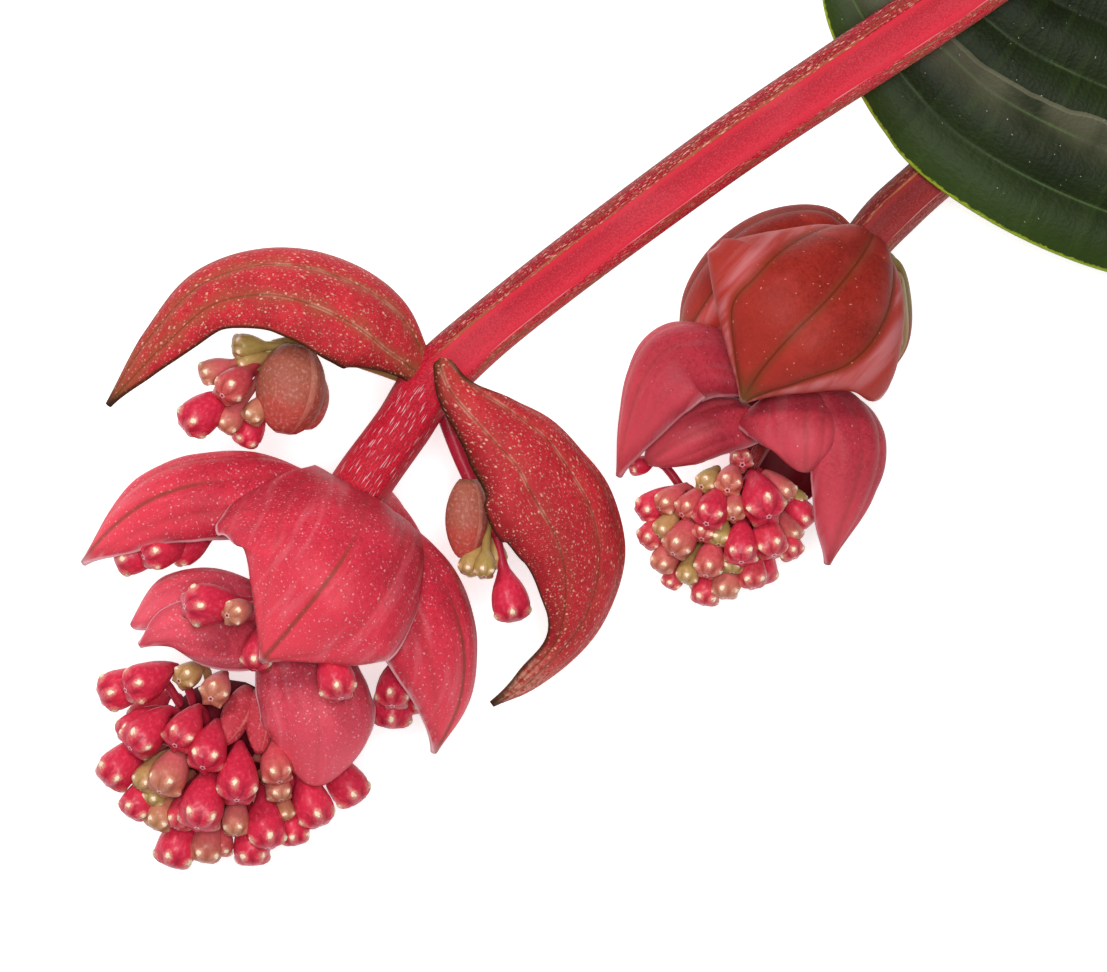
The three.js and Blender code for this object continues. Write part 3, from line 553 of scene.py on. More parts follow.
BACK_LOWER_BRACTS = {
    "back_head_left_bract": {
        "midrib": [
            [46, 22.6, 29], [39, 27, 36], [31, 29, 42], [23.4, 27, 44.8], [18.6, 20.4, 44.5],
            [15.8, 11.4, 41], [13.8, 2, 36],
        ],
        "facing": [[0, 0.7, 0.7], [-0.2, 0.6, 0.75], [-0.55, 0.4, 0.73], [-0.7, 0, 0.7]],
        "right": [5, 9, 11.6, 13.6, 13.4, 11.6, 8.4, 4.4, 0.6],
        "left": [6, 9, 11.2, 12.6, 13, 11.8, 8.6, 4.2, 0.6],
        "curl": [60, 66, 62, 44],
        "quilt": 0.5,
    },
    "back_head_middle_bract": {
        "midrib": [[50, 19, 33], [51, 17.6, 41], [51, 12, 46.5], [51, 6.6, 46.5], [50.8, 3, 43.5]],
        "facing": [[0.1, 0.8, 0.3], [0, 0.2, 1], [0, -0.5, 0.85]],
        "right": [10, 15, 15, 13, 11, 9],
        "left": [5, 7, 7.5, 7.2, 7, 6.6],
        "curl": [50, 50, 46],
        "quilt": 0.4,
        "blunt": 0.4,
    },
    "back_head_right_bract": {
        "midrib": [
            [52, 20, 29], [57.4, 19, 37], [61, 13.4, 42.5], [62, 7, 44], [60.4, -1, 43], [57.6, -9, 40],
            [55.6, -15.6, 36],
        ],
        "facing": [[0.5, 0.6, 0.5], [0.5, 0.2, 0.85], [0.45, 0, 0.9], [0.4, -0.3, 0.85]],
        "right": [5, 10, 12, 10, 6, 0.6],
        "left": [5, 9, 10, 9, 6, 0.6],
        "curl": [60, 62, 60, 44],
        "quilt": 0.4,
    },
    "back_head_lower_bract": {
        "midrib": [[51, 22, 24], [52, 23, 13], [50.6, 16, 4], [48, 8, 0.4], [45.6, -1, 0.6], [43, -9, 4]],
        "facing": [[0.2, 0.95, -0.1], [0.2, 0.6, -0.7], [0, 0, -1], [-0.2, -0.4, -0.87]],
        "right": [6, 13, 17, 15, 9, 0.6],
        "left": [6, 13, 17, 15, 9, 0.6],
        "curl": [60, 56, 50, 40],
        "quilt": 0.4,
    },
    "back_head_inner_bract": {
        "midrib": [[44.6, 13, 31], [39.6, 13.6, 37], [33, 12, 40.5], [26, 8.8, 40.5], [19.4, 5, 36.5]],
        "facing": [[0, 0.5, 0.8], [-0.1, 0, 1], [-0.4, -0.3, 0.85]],
        "right": [3, 6, 7, 7, 6.5, 5],
        "left": [3, 5.5, 6.5, 6.5, 6, 5],
        "curl": [50, 54, 50],
        "quilt": 0.3,
        "blunt": 0.35,
    },
}

# ---- heads and sprays of buds ----
# The buds that face up, as [place along x, place along y, size, tint], from the middle of the dome.
FRONT_FACING_BUDS = [
    [-20.6, 10.4, 1, 0], [-15.6, 11.8, 1, 0], [-7, 13.2, 0.65, 0.8], [-1.4, 10.4, 0.75, 0.55],
    [-17.6, 2.8, 0.8, 0], [-15.4, 1.6, 1, 0], [-7.6, 2.2, 0.9, 0.1], [-2.8, -1.6, 0.95, 0],
    [-20.6, -5, 1, 0], [-10.6, -6.4, 0.95, 0.45], [-15, -7, 0.7, 0.8], [-13.4, -10.4, 0.6, 1],
    [3, -7.2, 1.05, 0], [10.4, -4.8, 0.8, 0.3], [10.8, -9, 0.65, 0.6], [-16.8, -11.8, 0.85, 0],
    [-4, -12.4, 1.1, 0], [-12.4, -14.4, 0.75, 0.7], [-8.2, -14.2, 0.75, 0.15], [2.4, -15.6, 0.7, 0.6],
    [8.2, -16.8, 0.98, 0], [17.4, -12.6, 1, 0], [24, -8.6, 1, 0], [12, -13.6, 0.5, 0.7],
    [13.6, -17.2, 0.8, 0], [-9.2, -20.6, 1.05, 0], [-3.4, -20.4, 0.85, 0.4],
    [5.4, -20.6, 0.92, 0], [-0.6, -20.4, 0.6, 0.3],
]
BACK_FACING_BUDS = [
    [-13.6, 4, 0.75, 0.1], [-10.4, 5, 0.65, 0.35], [-6.4, 4, 0.65, 0.3],
    [-2.8, 9, 0.55, 0.85], [1.6, 8.8, 0.7, 0.35], [4, 13.4, 0.6, 0.2],
    [-2, 3, 0.85, 0.1], [2.4, 3.4, 0.6, 0.45], [8, 5, 1.05, 0.05],
    [12, 7.2, 0.65, 0.4], [15, 5.4, 0.5, 0.9], [15.6, 2.6, 0.75, 0.1],
    [-11, -0.2, 0.6, 0.8], [-13.4, -1.6, 0.7, 0.2], [-8, -2.8, 0.8, 0.35],
    [-3.2, -0.6, 0.6, 0.25], [-0.2, -1.8, 0.55, 1],
    [3.8, -4, 0.85, 0.1], [9.4, -2.6, 0.85, 0.15], [13.6, -1, 0.6, 0.4],
    [13.2, -3.8, 0.7, 0.15], [-11, -6.4, 0.7, 0.4],
    [-2.4, -7, 0.75, 0.3], [-6.4, -9, 0.6, 0.85], [-9.4, -10.4, 0.55, 0.2],
    [1, -11.2, 0.75, 0.45], [6, -9.2, 0.75, 0.2],
    [-2.8, -12.6, 0.75, 0.15], [2.2, -7, 0.6, 0.9], [-16.2, 12, 0.5, 0.05],
]
# A head's buds grow out of its hub, where the pedicels meet, into a dome round its centre. dome is the
# dome's three half sizes, hidden is how many places are tried for buds on its far side, and pods are closed
# pairs of bracteoles.
HEADS = {
    "front_head_buds": {
        "centre": [-65, -50.8, 33],
        "hub": [-61.4, -31, 33],
        "dome": [25, 24, 19],
        "facing": FRONT_FACING_BUDS,
        "hidden": 30,
        "pods": [
            {"root": [-60.4, -40.6, 39], "tip": [-64.6, -51, 49], "radius": 3.2},
            {"root": [-58.2, -41, 40], "tip": [-57.8, -52.8, 50], "radius": 2.8},
        ],
    },
    "back_head_buds": {
        "centre": [34.4, -7.8, 26],
        "hub": [38, 8, 26],
        "dome": [16, 15, 15],
        "facing": BACK_FACING_BUDS,
        "hidden": 26,
    },
}

# Each spray's buds are [x, y, z, size, tint], at the middle of the bud. A tint of 0 is a full-grown bud's
# crimson, and 1 is a very young one's green.
SPRAYS = {
    "upper_left_spray": {
        "branch": [[-25, 21, 36], [-37, 25, 37], [-49, 28.4, 38], [-56, 27.4, 38.5], [-58.4, 23, 39]],
        "thick": 2,
        "tint": 1,
        "buds": [
            [-69.4, 14.4, 43, 1, 0], [-63, 20.2, 46, 0.85, 0.25],
            [-67, 23, 41, 0.66, 0.5], [-63.6, 13.8, 42, 0.7, 0.45],
            [-60, 11.2, 39, 0.75, 0.05], [-58.6, 15, 44, 0.6, 0.7],
            [-60.6, 28, 41, 0.62, 0.95], [-60, 25.4, 40, 0.6, 0.85],
        ],
        "pods": [
            {"root": [-50.6, 28, 41], "tip": [-53, 10.6, 43], "radius": 7.2},
            {"root": [-49, 24, 32], "tip": [-49.4, 11.4, 33], "radius": 5},
        ],
    },
    "upper_right_spray": {
        "branch": [[-22, 17, 36], [-18, 6, 37], [-13.4, -4, 38], [-10.4, -10, 39]],
        "thick": 1.8,
        "buds": [
            [-8, -22.6, 41, 0.95, 0], [-15.6, -15.2, 41, 0.6, 0.85],
            [-13, -15.8, 44, 0.55, 0.9], [-11, -13.8, 38, 0.6, 0.85],
        ],
        "pods": [{"root": [-16.4, 1.4, 40], "tip": [-17, -14.4, 40], "radius": 4.4}],
    },
    "lower_left_spray": {
        "branch": [[-43, -5, 36], [-54, -7.4, 38], [-64, -8.8, 39], [-71, -10, 40]],
        "thick": 1.4,
        "buds": [[-82.6, -13.6, 41, 0.95, 0], [-77.4, -12.8, 45, 0.9, 0.08], [-72.4, -12.4, 41, 0.8, 0.05]],
    },
    "lower_right_spray": {
        "branch": [[-36.6, -7.4, 36], [-31, -16, 38], [-29.6, -26, 39], [-30.4, -32, 39]],
        "thick": 1.4,
        "buds": [[-31.4, -43.4, 40, 1.05, 0.05], [-27, -41, 39, 0.95, 0], [-31, -40, 46, 0.9, 0.08]],
    },
    "inner_left_spray": {
        "branch": [[-49, -20.6, 36], [-53, -22.4, 46], [-57, -22.6, 53]],
        "thick": 1.4,
        "buds": [[-67.6, -23.4, 58, 1.05, 0], [-61.8, -24.8, 59, 0.66, 0.6], [-57.6, -32.6, 54, 0.85, 0.05]],
    },
    "inner_right_spray": {
        "branch": [[-50, -22.4, 36], [-46.4, -24, 48], [-44.8, -29, 56]],
        "thick": 1.4,
        "buds": [[-42.4, -37.8, 59.6, 0.95, 0.1]],
    },
}


# ---- finishes ----
# sRGB colours of what is small or out of sight
LEAF_DUST = "aab1a2"  # pale specks of dust on the leaf
LEAF_UNDERSIDE = "657345"  # dull lighter green of the leaf's lower side
BARK_GREEN = "65693f"  # greener blotches of young bark
BARK_PORE = "aa997c"  # pale breathing pores
WOOD = "c4b890"  # fresh wood
WOOD_RING = "a4976f"  # the darker rings in it
PITH = "958461"  # the stem's soft middle
INNER_BARK = "615d38"  # the moist layer under the bark
TABLE_WHITE = "f3f3f3"  # the white light table below the branch
RING_WIDTH = 1.257  # millimetres from one ring of the wood to the next
RUNG_REACH, RUNG_WIDTH = 14.3, 1.82  # millimetres across and along the leaf, for its faint cross veins
POD_SPECK = 0.833  # millimetres across a bracteole, for a cell of its specks


def add(tree, kind, inputs=None, output=0, **settings):
    """Adds a shader node with its settings, joins or sets its inputs, and returns one of its outputs."""
    node = tree.nodes.new("ShaderNode" + kind)
    for name, value in settings.items():
        setattr(node, name, value)
    for key, value in (inputs or {}).items():
        if isinstance(value, bpy.types.NodeSocket):
            tree.links.new(value, node.inputs[key])
        elif hasattr(value, "__len__") and node.inputs[key].type == "RGBA":
            node.inputs[key].default_value = (*value[:3], 1)
        else:
            node.inputs[key].default_value = value
    return node.outputs[output]


def new_finish(name, **numbers):
    """An empty finish. numbers are set on the shader's own sockets, with _ for a space in their names."""
    material = bpy.data.materials.new(name)
    material.use_nodes = True
    tree = material.node_tree
    shader = tree.nodes["Principled BSDF"]
    for key, value in numbers.items():
        shader.inputs[key.replace("_", " ")].default_value = value
    return material, tree, shader


def close_finish(tree, shader, colour, height=None, depth_mm=0.0, strength=1.0):
    """Gives the shader its colour and, where there is a height, its relief."""
    tree.links.new(colour, shader.inputs["Base Color"])
    if height is not None:
        inputs = {"Height": height, "Distance": depth_mm * MM, "Strength": strength}
        tree.links.new(add(tree, "Bump", inputs), shader.inputs["Normal"])


def places(tree):
    """The place on a piece, in millimetres, and the parts of the two vectors that every piece carries.

    On a blade these are [across, side, along] and [from a vein, from the margin, share of the length]. On a
    tube they are [x, y, along] and [share of the radius, tint, share of the length].
    """
    grain = add(tree, "Attribute", output=1, attribute_name="grain")
    blade = add(tree, "Attribute", output=1, attribute_name="blade")
    split_grain = add(tree, "SeparateXYZ", {0: grain}).node.outputs
    split_blade = add(tree, "SeparateXYZ", {0: blade}).node.outputs
    return grain, split_grain, split_blade


def where(tree, strength, *limits):
    """How strongly a mark shows, up to strength. Each limit is a value, where on it the mark starts and
    where it is full, with a smooth rise between the two, and the mark keeps to all of its limits."""
    for value, start, full in limits:
        inputs = {0: value, 1: start, 2: full, 3: 0.0, 4: strength}
        strength = add(tree, "MapRange", inputs, interpolation_type="SMOOTHSTEP")
    return strength


def coats(tree, colour, *layers):
    """Lays coats of colour over a ground colour. A layer is its colour, its strength and its limits."""
    for over, strength, *limits in layers:
        share = where(tree, strength, *limits)
        colour = add(tree, "Mix", {0: share, 6: colour, 7: over}, output=2, data_type="RGBA")
    return colour


def mottles(tree, grain, size_mm, stretch=1.0, detail=2.0):
    """Soft mottles of about size_mm, drawn out stretch times along the piece."""
    place = add(tree, "Mapping", {"Vector": grain, "Scale": (1.0, 1.0, 1 / stretch)})
    return add(tree, "TexNoise", {"Vector": place, "Scale": 1 / size_mm, "Detail": detail})


def cells(tree, across, lengthwise, across_mm, lengthwise_mm):
    """A place on a surface, in cells of across_mm by lengthwise_mm."""
    x = add(tree, "Math", {0: across, 1: across_mm}, operation="DIVIDE")
    z = add(tree, "Math", {0: lengthwise, 1: lengthwise_mm}, operation="DIVIDE")
    return add(tree, "CombineXYZ", {0: x, 2: z})


def flecks(tree, place, size, density, strength=1.0, shift=0.0):
    """Short ragged flecks, some bright and some faint, at most one to a cell. place is in cells, size is a
    fleck's radius in them, and shift moves one kind of fleck away from another."""
    ragged = add(tree, "TexNoise", {"Vector": place, "Scale": 1.7, "Detail": 1.0}, output=1)
    inputs = {0: ragged, 1: (0.5, 0.5, 0.5), 2: (shift, shift, shift)}
    bend = add(tree, "VectorMath", inputs, operation="MULTIPLY_ADD")
    moved = add(tree, "VectorMath", {0: place, 1: bend}, operation="ADD")
    voronoi = add(tree, "TexVoronoi", {"Vector": moved, "Scale": 1.0}).node.outputs
    chance = add(tree, "SeparateColor", {0: voronoi["Color"]})
    near = (voronoi["Distance"], size, size * 0.45)
    return where(tree, strength, near, (chance, 1 - density, 1 - density * 0.35))


def shade(rgb, factor, lift=0.0):
    """A colour made darker or lighter by a factor."""
    return tuple(min(1, c * factor + lift) for c in rgb)


def skin_ground(tree, grain, body):
    """A living skin's uneven colour: broad clouds, small mottles and a light grain over them. The grain is
    drawn about three times as coarse as the skin's own cells, so that it shows."""
    clouds = mottles(tree, grain, 11.1, detail=3.0)
    mottle = mottles(tree, grain, 0.77, detail=3.0)
    fine = mottles(tree, grain, 0.357, detail=1.0)
    colour = coats(
        tree,
        shade(body, 0.84),
        (shade(body, 1.1), 1.0, (clouds, 0.35, 0.65)),
        (shade(body, 0.55), 0.5, (mottle, 0.45, 0.7)),
        (shade(body, 1.3, 0.02), 0.35, (fine, 0.5, 0.75)),
    )
    return colour, mottle


def weathered_bract_skin(look, name, tan):
    """The skin of an old bract in the sun: coral red between tan bands along its veins, thickly sprinkled
    with cream warts, and almost black olive at its base, tip and margin. Dry and grainy. tan says how strong
    the bands are, and the warts are drawn twice as coarse as real ones, so that they show."""
    body = look.upper_bract
    material, tree, shader = new_finish(name, Roughness=0.55, IOR=1.4, Specular_IOR_Level=0.12)
    grain, (across, side, reach), (crease, margin, u) = places(tree)
    ground, mottle = skin_ground(tree, grain, body)
    wide = mottles(tree, grain, 4.55)
    uneven = add(tree, "Math", {0: wide, 1: 4.0, 2: -1.0}, operation="MULTIPLY_ADD")
    from_vein = add(tree, "Math", {0: crease, 1: uneven}, operation="DIVIDE")
    from_rim = add(tree, "Math", {0: margin, 1: uneven}, operation="DIVIDE")
    along_veins = where(tree, 0.5 * tan, (from_vein, 2.4, 0.3))
    along_rim = where(tree, 0.35 * tan, (from_rim, 1.1, 0.3))
    bands = add(tree, "Math", {0: along_veins, 1: along_rim}, operation="MAXIMUM")
    ragged = add(tree, "Math", {0: wide, 1: 0.34, 2: u}, operation="MULTIPLY_ADD")
    warts = flecks(tree, cells(tree, across, reach, 0.9, 1.5), 0.3, 0.95, 0.8)
    specks = flecks(tree, cells(tree, across, reach, 0.5, 0.75), 0.36, 0.95, 0.42, 7.3)
    marks = add(tree, "Math", {0: warts, 1: specks}, operation="MAXIMUM")
    colour = coats(
        tree,
        ground,
        # painted shade: the half on the positive side of the midrib is darker, as if turned from the light
        (shade(body, 0.55), 0.3, (across, 1.0, 7.0)),
        # painted shade: that half darkens further towards its rolled margin
        (shade(body, 0.3), 0.5, (margin, 6.0, 0.8), (across, 0.5, 3.0)),
        (shade(look.cork, 0.8), bands),
        (look.vein, 0.6, (ragged, 1.0, 1.2)),
        (look.vein, 0.5, (ragged, 0.26, 0.14)),
        (look.dash, 0.7 * (1 - tan), (u, 0.8, 0.92), (mottle, 0.35, 0.6)),
        (shade(look.vein, 0.25), 0.75, (margin, 2.4, 0.4), (ragged, 0.56, 0.36)),
        (look.dash, marks),
        (look.dash, 0.35, (crease, 0.6, 0.2), (u, 0.6, 0.4), (wide, 0.4, 0.6)),
        (shade(look.vein, 0.45), 0.5, (crease, 0.25, 0.08)),
        (shade(look.vein, 0.2), 0.8, (u, 0.95, 1.0)),
        (shade(look.vein, 0.2), 0.85, (margin, 0.9, 0.2)),
        (shade(body, 0.4), 1.0, (side, 0.1, -0.1)),
    )
    bumps = add(tree, "Math", {0: mottle, 1: 0.8, 2: marks}, operation="MULTIPLY_ADD")
    close_finish(tree, shader, colour, bumps, 0.3, 0.7)
    return material


def fresh_bract_skin(look, name, body, dots, vein=0.3, pale=0.7, olive=0.4):
    """A young bract's skin: pink crimson and a little lighter towards its tip, finely dotted with pale
    pink, with faint veins and a thin whitish margin. Waxy, with a painted whitish sheen in soft streaks,
    strongest near the margin. dots is how many dots there are, and vein, pale and olive are how strong the
    veins, the margin with its painted sheen, and the tip's olive are."""
    material, tree, shader = new_finish(name, Roughness=0.46, IOR=1.4, Specular_IOR_Level=0.16)
    grain, (across, side, reach), (crease, margin, u) = places(tree)
    ground, mottle = skin_ground(tree, grain, body)
    streak = mottles(tree, grain, 2.22, 8.33, 3.0)
    warts = flecks(tree, cells(tree, across, reach, 0.95, 1.05), 0.27, dots, 0.5)
    specks = flecks(tree, cells(tree, across, reach, 0.55, 0.6), 0.3, dots * 0.7, 0.3, 7.3)
    marks = add(tree, "Math", {0: warts, 1: specks}, operation="MAXIMUM")
    from_midrib = add(tree, "Math", {0: across}, operation="ABSOLUTE")
    midrib = where(tree, vein, (from_midrib, 0.8, 0.1), (u, 0.35, 0.6))
    side_veins = where(tree, 0.2 * vein, (crease, 1.0, 0.1))
    veins = add(tree, "Math", {0: midrib, 1: side_veins}, operation="MAXIMUM")
    colour = coats(
        tree,
        ground,
        (shade(body, 1.5, 0.035), 0.85, (u, 0.4, 0.95)),
        # painted sheen: faint whitish streaks over the whole bract
        (look.margin, 0.16 * pale, (streak, 0.5, 0.75)),
        (look.margin, marks),
        (shade(look.vein, 0.6), veins),
        (look.vein, olive, (u, 0.93, 1.0)),
        (shade(body, 0.6), 0.4, (margin, 3.5, 0.8)),
        # painted sheen: whitish streaks within about two millimetres of the margin
        (look.margin, 0.55 * pale, (margin, 2.2, 0.3), (streak, 0.42, 0.6)),
        (look.margin, 1.1 * pale, (margin, 0.8, 0.25)),
        (shade(body, 0.45), 1.0, (side, 0.1, -0.1)),
    )
    bumps = add(tree, "Math", {0: mottle, 1: 0.7, 2: marks}, operation="MULTIPLY_ADD")
    close_finish(tree, shader, colour, bumps, 0.2, 0.6)
    return material


def brown_bract_skin(look, name, body, tip, wide, turning=0.84):
    """An outer bract's skin, browned by age: deep brick red, with broad soft brown veins and lighter pink
    outside its side veins, where a painted whitish pink sheen runs in streaks along the fold. Smooth and
    satin. wide is half a brown vein's width, and turning is where the skin turns to its tip's colour."""
    material, tree, shader = new_finish(name, Roughness=0.5, IOR=1.4, Specular_IOR_Level=0.14)
    grain, (across, side, reach), (crease, margin, u) = places(tree)
    ground, mottle = skin_ground(tree, grain, body)
    clouds = mottles(tree, grain, 6.25)
    streak = mottles(tree, grain, 2.0, 10.0)
    from_vein = add(tree, "Math", {0: clouds, 1: -1.6, 2: crease}, operation="MULTIPLY_ADD")
    from_midrib = add(tree, "Math", {0: across}, operation="ABSOLUTE")
    half_width = add(tree, "Math", {0: from_midrib, 1: margin}, operation="ADD")
    aside = add(tree, "Math", {0: from_midrib, 1: half_width}, operation="DIVIDE")
    specks = flecks(tree, cells(tree, across, reach, 1.1, 1.3), 0.18, 0.5, 0.5)
    brown = coats(tree, shade(look.vein, 0.75), (body, 0.5))
    colour = coats(
        tree,
        ground,
        (shade(body, 1.5, 0.012), 0.6, (u, 0.45, 0.85)),
        (shade(body, 1.5, 0.01), 0.3, (margin, 9.0, 1.0)),
        (shade(body, 1.6, 0.015), 0.35, (clouds, 0.5, 0.7)),
        (brown, 0.7, (from_vein, wide, -0.8)),
        (shade(body, 0.25), 0.45, (crease, 0.35, 0.1)),
        (look.dash, specks),
        (tip, 0.85, (u, turning, min(1.0, turning + 0.25))),
        (shade(body, 1.45, 0.01), 0.75, (aside, 0.5, 0.6)),
        # painted sheen: whitish pink streaks on the fold outside the side veins
        (look.margin, 0.24, (aside, 0.52, 0.6), (aside, 0.85, 0.62), (streak, 0.3, 0.7)),
        (look.margin, 0.5, (margin, 1.6, 0.3), (streak, 0.35, 0.6)),
        (shade(body, 0.5), 1.0, (side, 0.1, -0.1)),
    )
    close_finish(tree, shader, colour, mottle, 0.15, 0.5)
    return material


def stalk_skin(look, name, body, marked=1.0):
    """A living stalk's skin: two broad crimson faces with a fine grain, edged below by a pale line that is a
    painted highlight on the rib, and above by a corky line. The narrow faces are dark, corky and flecked with
    tan, with painted shade that turns almost black where they face straight sideways. Below the first whorl
    the ribs fade, the stalk gets painted shade towards its sides, and thin whitish dashes run along it.
    Satin. marked is how strong the flecks and dashes are. The grain is drawn three times as coarse as a real
    one, so that it shows."""
    material, tree, shader = new_finish(name, Roughness=0.48, IOR=1.4, Specular_IOR_Level=0.12)
    grain, (x, y, reach), (_, _, u) = places(tree)
    angle = add(tree, "Math", {0: x, 1: y}, operation="ARCTAN2")
    around = add(tree, "Math", {0: angle, 1: STALK_RADIUS}, operation="MULTIPLY")
    turned = add(tree, "Math", {0: angle, 1: RIB_TURN}, operation="ADD")
    cosine = add(tree, "Math", {0: turned}, operation="COSINE")
    sine = add(tree, "Math", {0: turned}, operation="SINE")
    flat = add(tree, "Math", {0: cosine}, operation="ABSOLUTE")
    # a thin band along the lower rib, where the painted highlight goes
    rib_highlight = add(tree, "Math", {0: sine, 1: -0.535, 2: 0.016}, operation="COMPARE")
    crest = add(tree, "Math", {0: sine, 1: 0.6, 2: 0.05}, operation="COMPARE")
    on_face = (flat, RIB_COSINE - 0.01, RIB_COSINE + 0.02)
    off_face = (flat, RIB_COSINE + 0.02, RIB_COSINE - 0.01)
    in_middle = (flat, RIB_COSINE + 0.03, 0.95)
    above_whorl = (u, 0.8, 0.775)
    below_whorl = (u, 0.79, 0.82)
    cloud = mottles(tree, grain, 6.25, 3.33)
    mottle = mottles(tree, grain, 1 / 3)
    strands = mottles(tree, grain, 0.909, 12.5, 3.0)
    broad = coats(
        tree,
        shade(body, 1.12, 0.012),
        (shade(body, 0.72), 1.0, (sine, -0.5, 0.3)),
        (shade(body, 1.2), 0.5, (sine, 0.3, 0.5)),
        (shade(body, 0.95, 0.04), 0.35, (cloud, 0.42, 0.65)),
        (shade(body, 0.42), 0.36, (mottle, 0.46, 0.68), in_middle),
        (shade(body, 1.1, 0.05), 0.35, (mottle, 0.5, 0.3), in_middle),
        # painted highlight: a broken whitish line along the lower rib
        (look.margin, 0.6, (strands, 0.44, 0.58), (rib_highlight, 0.0, 1.0)),
    )
    underside = coats(tree, shade(body, 0.7), (shade(body, 1.4, 0.03), 1.0, (mottle, 0.35, 0.6)))
    narrow = coats(
        tree,
        shade(body, 0.3),
        (shade(body, 0.75), 1.0, (mottle, 0.4, 0.6)),
        (shade(look.cork, 0.5), 0.5, (strands, 0.45, 0.62), (flat, RIB_COSINE, 0.6)),
        (underside, 1.0, (sine, 0.0, -0.4)),
        (look.cork, 0.8, (sine, -0.5, -0.7), (strands, 0.45, 0.6)),
        (look.cork, 0.75, (strands, 0.38, 0.54), (crest, 0.0, 1.0)),
        # painted shade: almost black where the narrow faces turn straight sideways, a dark outline seen from
        # above
        (shade(body, 0.1), 0.85, (flat, 0.24, 0.06)),
    )
    ribbed_part = coats(tree, narrow, (broad, 1.0, on_face))
    round_part = coats(
        tree,
        shade(body, 0.6),
        (body, 1.0, (mottle, 0.4, 0.65)),
        # painted shade: the round stalk darkens towards its sides
        (shade(body, 0.3), 0.5, (flat, 0.5, 0.1)),
    )
    long_flecks = flecks(tree, cells(tree, around, reach, 0.5, 2.0), 0.36, 0.95, marked)
    short_flecks = flecks(tree, cells(tree, around, reach, 0.45, 1.0), 0.34, 0.8, 0.7 * marked, 4.1)
    both = add(tree, "Math", {0: long_flecks, 1: short_flecks}, operation="MAXIMUM")
    marks = where(tree, both, above_whorl, off_face)
    drawn = add(tree, "Math", {0: marks, 1: 0.85}, operation="MULTIPLY")
    dashes = flecks(tree, cells(tree, around, reach, 0.36, 3.4), 0.36, 0.95, 0.9 * marked, 9.7)
    threads = where(tree, dashes, below_whorl, (cosine, 0.2, 0.7))
    colour = coats(
        tree,
        round_part,
        (ribbed_part, 1.0, above_whorl),
        (look.dash, drawn),
        (look.margin, threads),
    )
    raised = add(tree, "Math", {0: marks, 1: threads}, operation="MAXIMUM")
    bumps = add(tree, "Math", {0: mottle, 1: 0.5, 2: raised}, operation="MULTIPLY_ADD")
    close_finish(tree, shader, colour, bumps, 0.25, 0.6)
    return material


def leaf_skin(look):
    """A thick leaf's skin: very dark green with a dim sheen, a painted band of light under the crest of its
    side vein with a painted highlight along the crest, thin light veins with faint ones across between them
    and a thin uneven yellow-green rim."""
    material, tree, shader = new_finish("leaf_skin", Roughness=0.48, IOR=1.4, Specular_IOR_Level=0.16)
    grain, (across, side, reach), (crease, margin, _) = places(tree)
    clouds = mottles(tree, grain, 20.0, detail=4.0)
    mottle = mottles(tree, grain, 0.77, detail=3.0)
    wander = mottles(tree, grain, 16.7)
    rung_place = add(tree, "Mapping", {"Vector": grain, "Scale": (1 / RUNG_REACH, 1.0, 1 / RUNG_WIDTH)})
    rungs = add(tree, "TexNoise", {"Vector": rung_place, "Scale": 1.0, "Detail": 2.0})
    from_crest = add(tree, "Math", {0: wander, 1: 5.0, 2: across}, operation="MULTIPLY_ADD")
    crest = add(tree, "Math", {0: from_crest, 1: -4.6, 2: 0.45}, operation="COMPARE")
    dust = flecks(tree, cells(tree, across, reach, 1.9, 1.9), 0.085, 0.8, 0.8)
    uneven_rim = add(tree, "Math", {0: mottle, 1: -1.0, 2: margin}, operation="MULTIPLY_ADD")
    below_crest = (from_crest, -4.2, -5.0)
    colour = coats(
        tree,
        shade(look.leaf, 0.8),
        (shade(look.leaf, 1.3), 1.0, (clouds, 0.35, 0.7)),
        (shade(look.leaf, 0.5), 0.4, (mottle, 0.45, 0.75)),
        (look.leaf_vein, 0.22, (margin, 14.0, 1.0)),
        (look.leaf_vein, 0.07, (rungs, 0.54, 0.66)),
        # painted light: a lit band below the crest of the side vein
        (look.leaf_crest_highlight, 0.7, (from_crest, -15.0, -6.5), below_crest, (clouds, 0.3, 0.55)),
        # painted highlight: a thin bright line along the crest
        (shade(look.leaf_crest_highlight, 1.8), 0.4, (crest, 0.0, 1.0)),
        (look.leaf_vein, 0.5, (crease, 0.3, 0.1), (wander, 0.4, 0.6)),
        (linear(LEAF_DUST), dust),
        (look.leaf_margin, 1.0, (uneven_rim, 0.1, -0.35)),
        (linear(LEAF_UNDERSIDE), 1.0, (side, 0.1, -0.1)),
    )
    bumps = add(tree, "Math", {0: rungs, 1: 1.5, 2: mottle}, operation="MULTIPLY_ADD")
    close_finish(tree, shader, colour, bumps, 0.2, 0.6)
    return material


def bark_skin(look):
    """Young green-brown bark with lengthwise cracks and pale breathing pores, dull and dry."""
    material, tree, shader = new_finish("bark_skin", Roughness=0.82)
    grain, (x, y, reach), _ = places(tree)
    cracks = mottles(tree, grain, 1.11, 7.14, 5.0)
    blotch = mottles(tree, grain, 8.33, detail=3.0)
    angle = add(tree, "Math", {0: x, 1: y}, operation="ARCTAN2")
    around = add(tree, "Math", {0: angle, 1: STALK_RADIUS}, operation="MULTIPLY")
    pores = flecks(tree, cells(tree, around, reach, 1.8, 3.4), 0.17, 0.5)
    colour = coats(
        tree,
        look.bark,
        (linear(BARK_GREEN), 1.0, (blotch, 0.35, 0.65)),
        (shade(look.bark, 0.35), 1.0, (cracks, 0.5, 0.38)),
        (linear(BARK_PORE), pores),
    )
    bumps = add(tree, "Math", {0: cracks, 1: pores}, operation="ADD")
    close_finish(tree, shader, colour, bumps, 0.6, 0.8)
    return material


